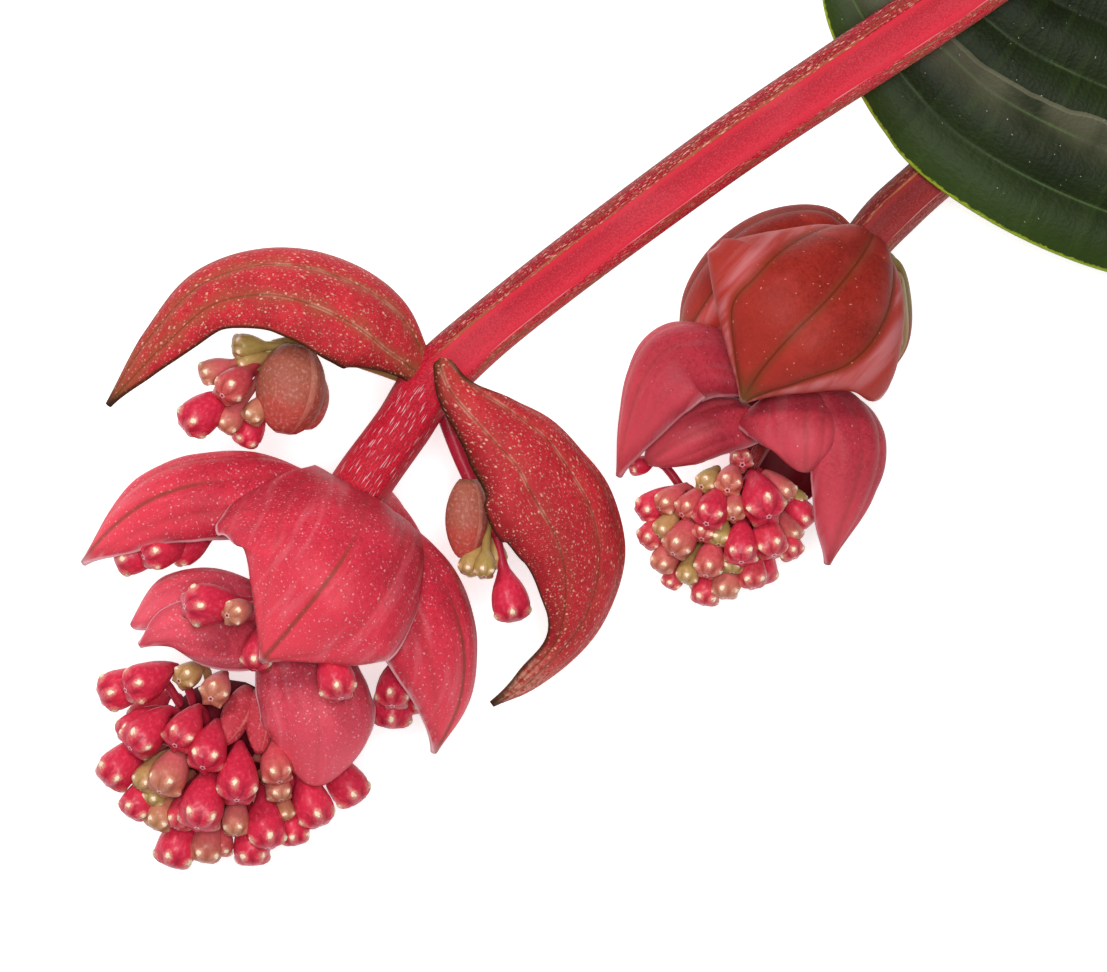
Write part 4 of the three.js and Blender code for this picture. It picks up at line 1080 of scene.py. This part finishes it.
def cut_wood():
    """The fresh cut end of the stem: pale moist wood with a darker pith and faint rings, smooth and dull."""
    material, tree, shader = new_finish("cut_wood", Roughness=0.55)
    _, (x, y, _), _ = places(tree)
    flat = add(tree, "CombineXYZ", {0: x, 1: y})
    radius = add(tree, "VectorMath", {0: flat}, output=1, operation="LENGTH")
    turns = add(tree, "Math", {0: radius, 1: math.tau / RING_WIDTH}, operation="MULTIPLY")
    rings = add(tree, "Math", {0: turns}, operation="SINE")
    colour = coats(
        tree,
        linear(WOOD),
        (linear(WOOD_RING), 0.4, (rings, -1.0, 1.0)),
        (linear(PITH), 1.0, (radius, 1.5, 1.1)),
        (linear(INNER_BARK), 1.0, (radius, 5.6, 6.0)),
    )
    close_finish(tree, shader, colour)
    return material


def bud_skin(look, lobes):
    """A bud's taut waxy skin: satin, pink crimson when full grown and tan or green when young, with small
    creamy knobs round its blunt end, painted shade in the notches between them and a pale ring at its tip."""
    material, tree, shader = new_finish(
        "bud_skin", Roughness=0.38, IOR=1.4, Specular_IOR_Level=0.3, Coat_Weight=0.06, Coat_Roughness=0.15
    )
    grain, (x, y, _), (_, tint, u) = places(tree)
    young = coats(tree, look.young_bud, (look.green_bud, 0.35, (u, 0.4, 1.0)))
    ground = coats(
        tree,
        look.ripe_bud,
        (young, 1.0, (tint, 0.05, 0.5)),
        (look.green_bud, 1.0, (tint, 0.55, 0.95)),
    )
    dark = coats(tree, ground, (shade(look.ripe_bud, 0.3), 0.75))
    brown = coats(tree, ground, (look.vein, 0.5))
    deep = coats(tree, dark, (brown, 1.0, (tint, 0.1, 0.6)))
    rosy = coats(tree, look.lobe, (look.ripe_bud, 0.45))
    mottle = mottles(tree, grain, 0.714, 1.43, 3.0)
    ragged = mottles(tree, grain, 0.455, detail=1.0)
    dots = flecks(tree, grain, 0.18, 0.6, 0.2)  # in cells of a millimetre
    # how far a place is from the nearest knob's middle, in millimetres
    flat = add(tree, "CombineXYZ", {0: x, 1: y})
    radius = add(tree, "VectorMath", {0: flat}, output=1, operation="LENGTH")
    turn = add(tree, "Math", {0: x, 1: y}, operation="ARCTAN2")
    knobs = add(tree, "Math", {0: turn, 1: lobes / math.tau, 2: 10.5}, operation="MULTIPLY_ADD")
    knob_share = add(tree, "Math", {0: knobs}, operation="FRACT")
    centred = add(tree, "Math", {0: knob_share, 1: 0.5}, operation="SUBTRACT")
    from_knob = add(tree, "Math", {0: centred}, operation="ABSOLUTE")
    arc = add(tree, "Math", {0: centred, 1: math.tau / lobes}, operation="MULTIPLY")
    aside = add(tree, "Math", {0: arc, 1: radius}, operation="MULTIPLY")
    beyond = add(tree, "Math", {0: u, 1: LOBE_PLACE}, operation="SUBTRACT")
    above = add(tree, "Math", {0: beyond, 1: BUD_REACH}, operation="MULTIPLY")
    offset = add(tree, "CombineXYZ", {0: aside, 1: above})
    length = add(tree, "VectorMath", {0: offset}, output=1, operation="LENGTH")
    away = add(tree, "Math", {0: ragged, 1: 0.9, 2: length}, operation="MULTIPLY_ADD")
    ring = add(tree, "Math", {0: radius, 1: 0.55, 2: 0.14}, operation="COMPARE")
    at_tip = (u, 0.95, 0.975)
    colour = coats(
        tree,
        ground,
        (deep, 0.35, (mottle, 0.42, 0.7)),
        (look.margin, 0.08, (mottle, 0.45, 0.3)),
        (deep, 0.8, (u, 0.4, -0.1)),
        (look.margin, dots),
        # painted shade in the notches between the knobs
        (deep, 0.75, (from_knob, 0.27, 0.5), (u, 0.78, 0.92)),
        (rosy, 0.5, (away, 1.9, 1.0)),
        (look.lobe, 1.0, (away, 1.12, 0.84)),
        (look.margin, 0.75, (ring, 0.0, 1.0), at_tip),
        (shade(look.ripe_bud, 0.2), 1.0, (radius, 0.36, 0.22), at_tip),
    )
    close_finish(tree, shader, colour, mottle, 0.15, 0.5)
    return material


def pod_skin(look):
    """Two bracteoles closed over young buds: fleshy and satin, olive tan at the base and coral at the tip,
    or pink crimson all over where tint is 1, with a faint pale seam and pale specks."""
    material, tree, shader = new_finish("bracteole_skin", Roughness=0.48, IOR=1.4, Specular_IOR_Level=0.2)
    grain, (x, y, _), (_, tint, u) = places(tree)
    wide = mottles(tree, grain, 3.33, detail=3.0)
    mottle = mottles(tree, grain, 0.667)
    ragged = add(tree, "Math", {0: wide, 1: 0.9, 2: u}, operation="MULTIPLY_ADD")
    blush = where(tree, 0.85, (ragged, 0.8, 1.4))
    rosy = add(tree, "Math", {0: tint, 1: blush}, operation="MAXIMUM")
    speck_place = add(tree, "Mapping", {"Vector": grain, "Scale": (1 / POD_SPECK, 1 / POD_SPECK, 1.0)})
    specks = flecks(tree, speck_place, 0.2, 0.5, 0.3)
    angle = add(tree, "Math", {0: x, 1: y}, operation="ARCTAN2")
    seam = add(tree, "Math", {0: angle, 1: SEAM_TURN, 2: 0.1}, operation="COMPARE")
    olive = coats(tree, look.young_bud, (shade(look.vein, 1.25), 0.6))
    crimson = coats(tree, look.pod, (shade(look.lower_bract, 0.85, 0.02), 1.0, (tint, 0.6, 0.9)))
    colour = coats(
        tree,
        olive,
        (crimson, rosy),
        (shade(look.pod, 0.55), 0.35, (mottle, 0.45, 0.72)),
        (look.margin, 0.22, (mottle, 0.45, 0.28)),
        (look.dash, specks),
        (look.dash, 0.2, (seam, 0.0, 1.0)),
        (shade(look.vein, 0.6), 0.6, (u, 0.1, 0.0)),
    )
    close_finish(tree, shader, colour, mottle, 0.2, 0.6)
    return material


def shadowed_head_core(look):
    """The inside of a head, where the pedicels are packed together, drawn as painted shade: near black red,
    dull.
    """
    material, tree, shader = new_finish("shadowed_head_core", Roughness=0.8, Specular_IOR_Level=0.1)
    grain, _, _ = places(tree)
    core_shadow_mottle = mottles(tree, grain, 2.0, detail=3.0)
    colour = coats(tree, shade(look.ripe_bud, 0.05), (shade(look.ripe_bud, 0.2), core_shadow_mottle))
    close_finish(tree, shader, colour)
    return material


def light_table():
    """A matt white surface that shines evenly, so that the branch seems to lie on white without weight."""
    material, _, _ = new_finish(
        "white_light_table",
        Roughness=0.9,
        Specular_IOR_Level=0.1,
        Base_Color=(*linear(TABLE_WHITE), 1),
        Emission_Color=(1, 1, 1, 1),
        Emission_Strength=FLOOR_GLOW,
    )
    return material


# ---- stem and stalks ----
STALK_RADIUS = 6.2  # millimetres, for the spacing of the marks round a stalk
STEM_SWELL = 0.2  # how much thicker the stem is at a node, as a share of its radius
STALK_SWELL = 0.06  # and a stalk
NODE_REACH = 0.03  # how far a node's swelling reaches, as a share of the length
RIB_TURN = math.radians(6.5)  # how far the ribs are turned from the facing side
RIB_COSINE = math.cos(math.radians(34))  # the ribs lie this far from the middle of the two broad faces
RIB_WIDTH = 0.07  # in the same cosine
RIB_HEIGHT = 0.05  # this and the next are shares of a stalk's radius
FACE_HOLLOW = 0.05  # how much lower a broad face lies in its middle
SEAM_TURN = -0.7  # radians from a pod's facing side to its seam


def ribbed(angle, _):
    """A stalk's section: two broad faces and two narrow ones, with a low rib at each corner."""
    flat = abs(math.cos(angle + RIB_TURN))
    rib = math.exp(-(((flat - RIB_COSINE) / RIB_WIDTH) ** 2))
    return 0.96 + RIB_HEIGHT * rib - FACE_HOLLOW * smooth(RIB_COSINE, 1, flat)


def four_ribbed(angle, u):
    """The woody stem's section: four broad faces with a raised rib between them."""
    return 1.05 - 0.15 * math.cos(4 * angle) + 0.02 * math.sin(23 * angle + 40 * u)


def stalk_rings(stalk, steps, swell):
    """The places and radii along a stalk, which swells by a share of its radius at each of its nodes."""
    rings = []
    for i in range(steps + 1):
        u = i / steps
        swollen = sum(math.exp(-(((u - n) / NODE_REACH) ** 2)) for n in stalk["nodes"])
        rings.append((u, along(stalk["radii"], u) * (1 + swell * swollen)))
    return rings


class MEDINILLA_OT_woody_stem(bpy.types.Operator):
    """Adds the short woody stem that carries the leaf and the stalks"""

    bl_idname = "medinilla.woody_stem"
    bl_label = "Woody stem"

    def execute(self, context):
        look = context.scene.medinilla_colours
        bm = tube_bmesh()
        rings = stalk_rings(STEM, STEM_GRID[1], STEM_SWELL)
        add_tube(bm, straight_tube(*STEM_GRID), Spline(STEM["path"]), rings, UP, four_ribbed)
        for vert in bm.verts:
            vert.co.z = max(vert.co.z, 0)
        for face in bm.faces:
            face.material_index = 1 if len(face.verts) > 4 else 0  # the two cut ends have one face each
        finish_piece("woody_stem_bark", bm, [bark_skin(look), cut_wood()], ["woody_stem"])
        return {"FINISHED"}


class MEDINILLA_OT_stalks(bpy.types.Operator):
    """Adds the two red stalks"""

    bl_idname = "medinilla.stalks"
    bl_label = "Stalks"

    def execute(self, context):
        look = context.scene.medinilla_colours
        bright = stalk_skin(look, "stalk_skin", look.stalk)
        dull = stalk_skin(look, "dull_stalk_skin", look.back_stalk, 0.35)
        for name, stalk, grid, skin in (
            ("front_stalk", FRONT_STALK, FRONT_STALK_GRID, bright),
            ("back_stalk", BACK_STALK, BACK_STALK_GRID, dull),
        ):
            bm = tube_bmesh()
            rings = stalk_rings(stalk, grid[1], STALK_SWELL)
            add_tube(bm, straight_tube(*grid), Spline(stalk["path"]), rings, UP, ribbed)
            finish_piece(name + "_skin", bm, [skin], [name])
        return {"FINISHED"}


# ---- the leaf and the bracts ----
class MEDINILLA_OT_leaf(bpy.types.Operator):
    """Adds the leaf"""

    bl_idname = "medinilla.leaf"
    bl_label = "Leaf"

    def execute(self, context):
        thickness = context.scene.medinilla_sizes.leaf_thickness / MM
        bm = blade_mesh(LEAF, thickness, LEAF_GRID)
        finish_piece("leaf_blade", bm, [leaf_skin(context.scene.medinilla_colours)], ["leaf"])
        return {"FINISHED"}


def add_bracts(context, table, skin):
    """Adds the bracts of one table, all in one skin."""
    thickness = context.scene.medinilla_sizes.bract_thickness / MM
    for name, blade in table.items():
        bm = blade_mesh(blade, thickness, BRACT_GRID)
        finish_piece(name + "_blade", bm, [skin], [name])


class MEDINILLA_OT_front_bracts(bpy.types.Operator):
    """Adds the bracts of the front head: two weathered ones at the top and the fresher ones below"""

    bl_idname = "medinilla.front_bracts"
    bl_label = "Front head's bracts"

    def execute(self, context):
        look = context.scene.medinilla_colours
        for name, tan in (("upper_left_bract", 1.0), ("upper_right_bract", 0.35)):
            skin = weathered_bract_skin(look, name + "_weathered_skin", tan)
            add_bracts(context, {name: FRONT_UPPER_BRACTS[name]}, skin)
        inner = {name: blade for name, blade in FRONT_LOWER_BRACTS.items() if name.startswith("inner")}
        outer = {name: blade for name, blade in FRONT_LOWER_BRACTS.items() if name not in inner}
        fresh = fresh_bract_skin(look, "fresh_bract_skin", look.lower_bract, 0.85, 0.6)
        add_bracts(context, outer, fresh)
        pale = fresh_bract_skin(look, "pale_bract_skin", look.inner_bract, 0.9, 0.1, 0.8, 0.1)
        add_bracts(context, inner, pale)
        return {"FINISHED"}


class MEDINILLA_OT_back_bracts(bpy.types.Operator):
    """Adds the bracts of the back head"""

    bl_idname = "medinilla.back_bracts"
    bl_label = "Back head's bracts"

    def execute(self, context):
        look = context.scene.medinilla_colours
        red, olive = look.back_bract, shade(look.green_bud, 0.55)
        for name, skin in (
            ("back_head_front_bract", brown_bract_skin(look, "brown_bract_skin", red, look.vein, 1.1)),
            ("back_head_rear_bract", brown_bract_skin(look, "green_tipped_bract_skin", red, olive, 0.6)),
            ("back_head_edge_bract", brown_bract_skin(look, "green_based_bract_skin", olive, red, 0.6, 0.45)),
        ):
            add_bracts(context, {name: BACK_UPPER_BRACTS[name]}, skin)
        dull = fresh_bract_skin(look, "dull_bract_skin", look.back_lower_bract, 0.05, 0.2, 0.3, 0.2)
        add_bracts(context, BACK_LOWER_BRACTS, dull)
        return {"FINISHED"}


# ---- buds ----
LOBE_PLACE = 0.87  # where the knobs lie along a bud
LOBE_WIDTH = 0.06  # how far a knob reaches along it
NOTCH_DEPTH = 0.29  # of the bud's radius, between two knobs
BUD_REACH = 12.4  # a full-grown bud's length in millimetres, for the size of its knobs
# a bud's shape, as [place from neck to tip, share of its widest radius]
BUD_PROFILE = (
    (0.0, 0.28),
    (0.08, 0.34),
    (0.2, 0.52),
    (0.34, 0.76),
    (0.48, 0.92),
    (0.6, 0.99),
    (0.72, 1.02),
    (0.82, 1.0),
    (0.88, 0.96),
    (0.93, 0.89),
    (0.965, 0.77),
    (0.985, 0.55),
    (1.0, 0.12),
)
HIDDEN_SIZES = (0.95, 0.83, 0.71)  # the buds on a head's far side take these in turn
HIDDEN_TINTS = (0.0, 0.15, 0.45)  # and these
HEART_PLACE = 0.6  # a bud's middle, as a share of its length
PEDICEL_ROOT = 0.35  # where a head's pedicels start, as a share of the way from its centre to a bud
BUD_SPACING = 3.2  # millimetres between two buds' middles, for each unit of their sizes
CORE_SHARE = 0.5  # a head's core, as a share of its dome
FIRST_BUD = 0.97  # where a spray's first bud leaves its branch, as a share of the branch's length
BUD_STEP = 0.06  # and how much further down each next one does
BRANCH_TAPER = 0.3  # how much of its radius a branch loses up to its tip


def bud_radius_at(t):
    """A bud's radius at t (0 at its neck, 1 at its tip), as a share of its widest."""
    for (t0, r0), (t1, r1) in zip(BUD_PROFILE, BUD_PROFILE[1:]):
        if t <= t1:
            return r0 + (r1 - r0) * (t - t0) / (t1 - t0)
    return BUD_PROFILE[-1][1]


def add_bud(bm, template, root, heart, hub, size, tint, turn, sizes):
    """Adds a pear-shaped bud on its pedicel. root is the pedicel's start, heart the bud's middle, and turn
    says how far the ring of lobes round its end is turned."""
    way = (heart - hub).normalized()
    reach = sizes.bud_length / MM * size
    fat = sizes.bud_radius / MM * size
    thin = sizes.pedicel_radius / MM
    neck, tip = heart - way * HEART_PLACE * reach, heart + way * (1 - HEART_PLACE) * reach
    curve = Spline([root, neck, heart, tip])
    share = reach / curve.length
    rings = [((1 - share) * i / PEDICEL_STEPS, thin) for i in range(PEDICEL_STEPS)]
    bud_steps = BUD_GRID[1] - PEDICEL_STEPS
    for i in range(bud_steps + 1):
        t = 1 - (1 - i / bud_steps) ** 1.35  # closer together towards the tip
        rings.append((1 - share * (1 - t), max(thin * 1.05 if t < 0.1 else 0, fat * bud_radius_at(t))))
    lobes, height = sizes.lobe_count, sizes.lobe_height / MM / fat * size

    def section(angle, u):
        t = 1 - (1 - u) / share
        lobe = (0.5 + 0.5 * math.cos(lobes * (angle + turn))) ** 2
        knob = height * lobe * math.exp(-(((t - LOBE_PLACE) / LOBE_WIDTH) ** 2))
        notch = NOTCH_DEPTH * (1 - lobe) * smooth(0.72, 0.93, t)
        return 1 + knob - notch

    front = UP if abs(way.z) < 0.9 else Vector((0, 1, 0))
    before = len(bm.verts)
    add_tube(bm, template, curve, rings, front, section, tint)
    grain = bm.verts.layers.float_vector["grain"]
    shape = bm.verts.layers.float_vector["blade"]
    for vert in bm.verts[before:]:
        rim, tint_here, u = vert[shape]
        vert[shape] = (rim, tint_here, max(-1, 1 - (1 - u) / share))
        x, y, reach = vert[grain]
        angle, radius = math.atan2(x, y) + turn, math.hypot(x, y)
        vert[grain] = (radius * math.sin(angle), radius * math.cos(angle), reach)


def bud_hearts(head):
    """The middles of a head's buds from its centre, with their sizes and tints."""
    wide, long, deep = head["dome"]
    hearts = []
    for aside, up, size, tint in head["facing"]:
        high = math.sqrt(max(0.05, 1 - (aside / wide) ** 2 - (up / long) ** 2))
        hearts.append((Vector((aside, up, deep * high * (0.6 + 0.4 * size))), size, tint))
    # the far side's places go round on a slightly smaller dome, down to its lowest point
    for i in range(head["hidden"]):
        up = 0.55 - 1.55 * (i + 0.5) / head["hidden"]
        turn = i * GOLDEN_ANGLE
        flat = math.sqrt(1 - up * up)
        place = Vector((flat * math.cos(turn) * wide * 0.68, up * long * 0.7, flat * math.sin(turn) * deep))
        size = HIDDEN_SIZES[i % 3]
        free = all((p - place).length >= BUD_SPACING * (s + size) for p, s, _ in hearts)
        if place.z < deep * 0.2 and free:
            hearts.append((place, size, HIDDEN_TINTS[i % 3]))
    return hearts


def add_pod(bm, pod, tint, index):
    """Adds a closed pair of bracteoles, with a seam along each side and a few low ridges. index is the place
    of its finish on the piece."""
    steps = POD_GRID[1]
    rings = []
    for i in range(steps + 1):
        swell = math.sin(math.pi * (0.05 + 0.92 * i / steps)) ** 0.5
        rings.append((i / steps, pod["radius"] * swell))
    faces = len(bm.faces)

    def section(angle, u):
        seam = 0.05 * math.exp(-((math.sin(angle - SEAM_TURN) / 0.14) ** 2))
        return 0.97 + seam - 0.03 * math.cos(3 * angle) + 0.09 * math.cos(5 * angle + 1) * smooth(0.7, 1, u)

    add_tube(bm, straight_tube(*POD_GRID), Spline([pod["root"], pod["tip"]]), rings, UP, section, tint)
    bm.faces.ensure_lookup_table()
    for face in bm.faces[faces:]:
        face.material_index = index


class MEDINILLA_OT_bud_heads(bpy.types.Operator):
    """Adds the two dense heads of buds"""

    bl_idname = "medinilla.bud_heads"
    bl_label = "Heads of buds"

    def execute(self, context):
        sizes = context.scene.medinilla_sizes
        look = context.scene.medinilla_colours
        skins = [bud_skin(look, sizes.lobe_count), shadowed_head_core(look), pod_skin(look)]
        template = straight_tube(*BUD_GRID)
        for name, head in HEADS.items():
            bm = tube_bmesh()
            centre, hub = Vector(head["centre"]), Vector(head["hub"])
            # the head's core: a near black ellipsoid of painted shade between the pedicels
            made = bmesh.ops.create_icosphere(bm, subdivisions=3, radius=1)
            bmesh.ops.scale(bm, vec=[r * CORE_SHARE for r in head["dome"]], verts=made["verts"])
            bmesh.ops.translate(bm, vec=centre, verts=made["verts"])
            for face in bm.faces:
                face.material_index = 1
            for i, (place, size, tint) in enumerate(bud_hearts(head)):
                turn = i * GOLDEN_ANGLE
                root, heart = centre + place * PEDICEL_ROOT, centre + place
                add_bud(bm, template, root, heart, hub, size, tint, turn, sizes)
            for pod in head.get("pods", ()):
                add_pod(bm, pod, 1.0, 2)
            finish_piece(name + "_cluster", bm, skins, [name])
        return {"FINISHED"}


class MEDINILLA_OT_sprays(bpy.types.Operator):
    """Adds the small sprays of buds in the axils of the bracts"""

    bl_idname = "medinilla.sprays"
    bl_label = "Sprays of buds"

    def execute(self, context):
        sizes = context.scene.medinilla_sizes
        look = context.scene.medinilla_colours
        skins = [bud_skin(look, sizes.lobe_count), pod_skin(look)]
        template = straight_tube(*BUD_GRID)
        branch_tube = straight_tube(*BRANCH_GRID)
        steps = BRANCH_GRID[1]
        for name, spray in SPRAYS.items():
            bm = tube_bmesh()
            curve = Spline(spray["branch"])
            thick = spray["thick"]
            rings = [(i / steps, thick * (1 - BRANCH_TAPER * i / steps)) for i in range(steps + 1)]
            add_tube(bm, branch_tube, curve, rings, UP, None, spray.get("tint", 0.0))
            shape = bm.verts.layers.float_vector["blade"]
            for vert in bm.verts:
                vert[shape] = (*vert[shape][:2], -0.5)  # below a bud's neck, so it looks like a pedicel
            for i, (x, y, z, size, tint) in enumerate(spray.get("buds", ())):
                root = curve.point(FIRST_BUD - BUD_STEP * i)
                turn = i * GOLDEN_ANGLE
                add_bud(bm, template, root, Vector((x, y, z)), root, size, tint, turn, sizes)
            for pod in spray.get("pods", ()):
                add_pod(bm, pod, 0.0, 1)
            finish_piece(name + "_buds", bm, skins, [name])
        return {"FINISHED"}


# ---- stage ----
FLOOR_HALF_SIDE = 3  # metres
FLOOR_GAP = 0.3  # millimetres from the floor's top to the branch's lowest spots
FLOOR_GLOW = 0.6  # a light table shines up a little, which keeps the shadows faint
# each soft light's name, place and width in metres, and power in watts
SOFTBOXES = (
    ("key_softbox", (-0.5, 0.7, 1.1), 0.35, 7.5),
    ("overhead_softbox", (0.0, 0.0, 2.2), 0.8, 33.5),
)
WORLD_GLOW = 0.13  # an even white light from all round
CAMERA_HEIGHT = 1640  # millimetres above the floor
HEADS_HEIGHT = 40  # millimetres from the floor to the level of the heads' upper sides
FRAME_WIDTH = 221.4  # millimetres that the picture is wide at that level
FRAME_MIDDLE = Vector((0.7, 0.0, 0.0))  # in the tables' millimetres
SENSOR_WIDTH = 36  # millimetres
CLIP_END = 20  # metres


class MEDINILLA_OT_stage(bpy.types.Operator):
    """Adds the pale floor, the soft studio lights and the camera that looks straight down"""

    bl_idname = "medinilla.stage"
    bl_label = "Stage"

    def execute(self, context):
        scene = context.scene
        bm = bmesh.new()
        bmesh.ops.create_grid(bm, x_segments=1, y_segments=1, size=FLOOR_HALF_SIDE)
        bmesh.ops.translate(bm, verts=bm.verts[:], vec=(0, 0, -FLOOR_GAP * MM))
        mesh = bpy.data.meshes.new("floor")
        bm.to_mesh(mesh)
        bm.free()
        mesh.materials.append(light_table())
        floor = bpy.data.objects.new("floor", mesh)
        scene.collection.objects.link(floor)
        floor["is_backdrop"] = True
        for name, place, size, power in SOFTBOXES:
            lamp = bpy.data.lights.new(name, "AREA")
            lamp.shape = "DISK"
            lamp.size = size
            lamp.energy = power
            light = bpy.data.objects.new(name, lamp)
            light.location = place
            light.rotation_euler = Vector(place).to_track_quat("Z", "Y").to_euler()
            scene.collection.objects.link(light)
        world = bpy.data.worlds.new("studio")
        world.use_nodes = True
        background = world.node_tree.nodes["Background"]
        background.inputs["Color"].default_value = (1, 1, 1, 1)
        background.inputs["Strength"].default_value = WORLD_GLOW
        scene.world = world
        scene.view_settings.view_transform = "Standard"
        lens = bpy.data.cameras.new("camera")
        lens.sensor_width = SENSOR_WIDTH
        lens.lens = SENSOR_WIDTH * (CAMERA_HEIGHT - HEADS_HEIGHT) / FRAME_WIDTH
        lens.clip_end = CLIP_END
        camera = bpy.data.objects.new("camera", lens)
        camera.location = (FRAME_MIDDLE + HOME + UP * CAMERA_HEIGHT) * MM
        scene.collection.objects.link(camera)
        scene.camera = camera
        return {"FINISHED"}


class MEDINILLA_PT_panel(bpy.types.Panel):
    """Lists the branch's pieces and their sizes and colours"""

    bl_idname = "MEDINILLA_PT_panel"
    bl_label = "Medinilla branch"
    bl_space_type = "VIEW_3D"
    bl_region_type = "UI"
    bl_category = "Medinilla"

    def draw(self, context):
        for operator in OPERATORS:
            self.layout.operator(operator.bl_idname)
        for group in (context.scene.medinilla_sizes, context.scene.medinilla_colours):
            for name in group.__annotations__:
                self.layout.prop(group, name)


OPERATORS = (
    MEDINILLA_OT_woody_stem,
    MEDINILLA_OT_stalks,
    MEDINILLA_OT_leaf,
    MEDINILLA_OT_front_bracts,
    MEDINILLA_OT_back_bracts,
    MEDINILLA_OT_bud_heads,
    MEDINILLA_OT_sprays,
    MEDINILLA_OT_stage,
)
CLASSES = (MedinillaSizes, MedinillaColours, *OPERATORS, MEDINILLA_PT_panel)


def register():
    for cls in CLASSES:
        bpy.utils.register_class(cls)
    bpy.types.Scene.medinilla_sizes = PointerProperty(type=MedinillaSizes)
    bpy.types.Scene.medinilla_colours = PointerProperty(type=MedinillaColours)


def unregister():
    del bpy.types.Scene.medinilla_colours
    del bpy.types.Scene.medinilla_sizes
    for cls in reversed(CLASSES):
        bpy.utils.unregister_class(cls)


def main():
    register()
    for operator in OPERATORS:
        group, name = operator.bl_idname.split(".")
        getattr(getattr(bpy.ops, group), name)()
    boxes = {"cad": CAD_BOX, "visual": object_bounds()}
    {name: [list(corner) for corner in box] for name, box in boxes.items()}


if __name__ == "__main__":
    main()
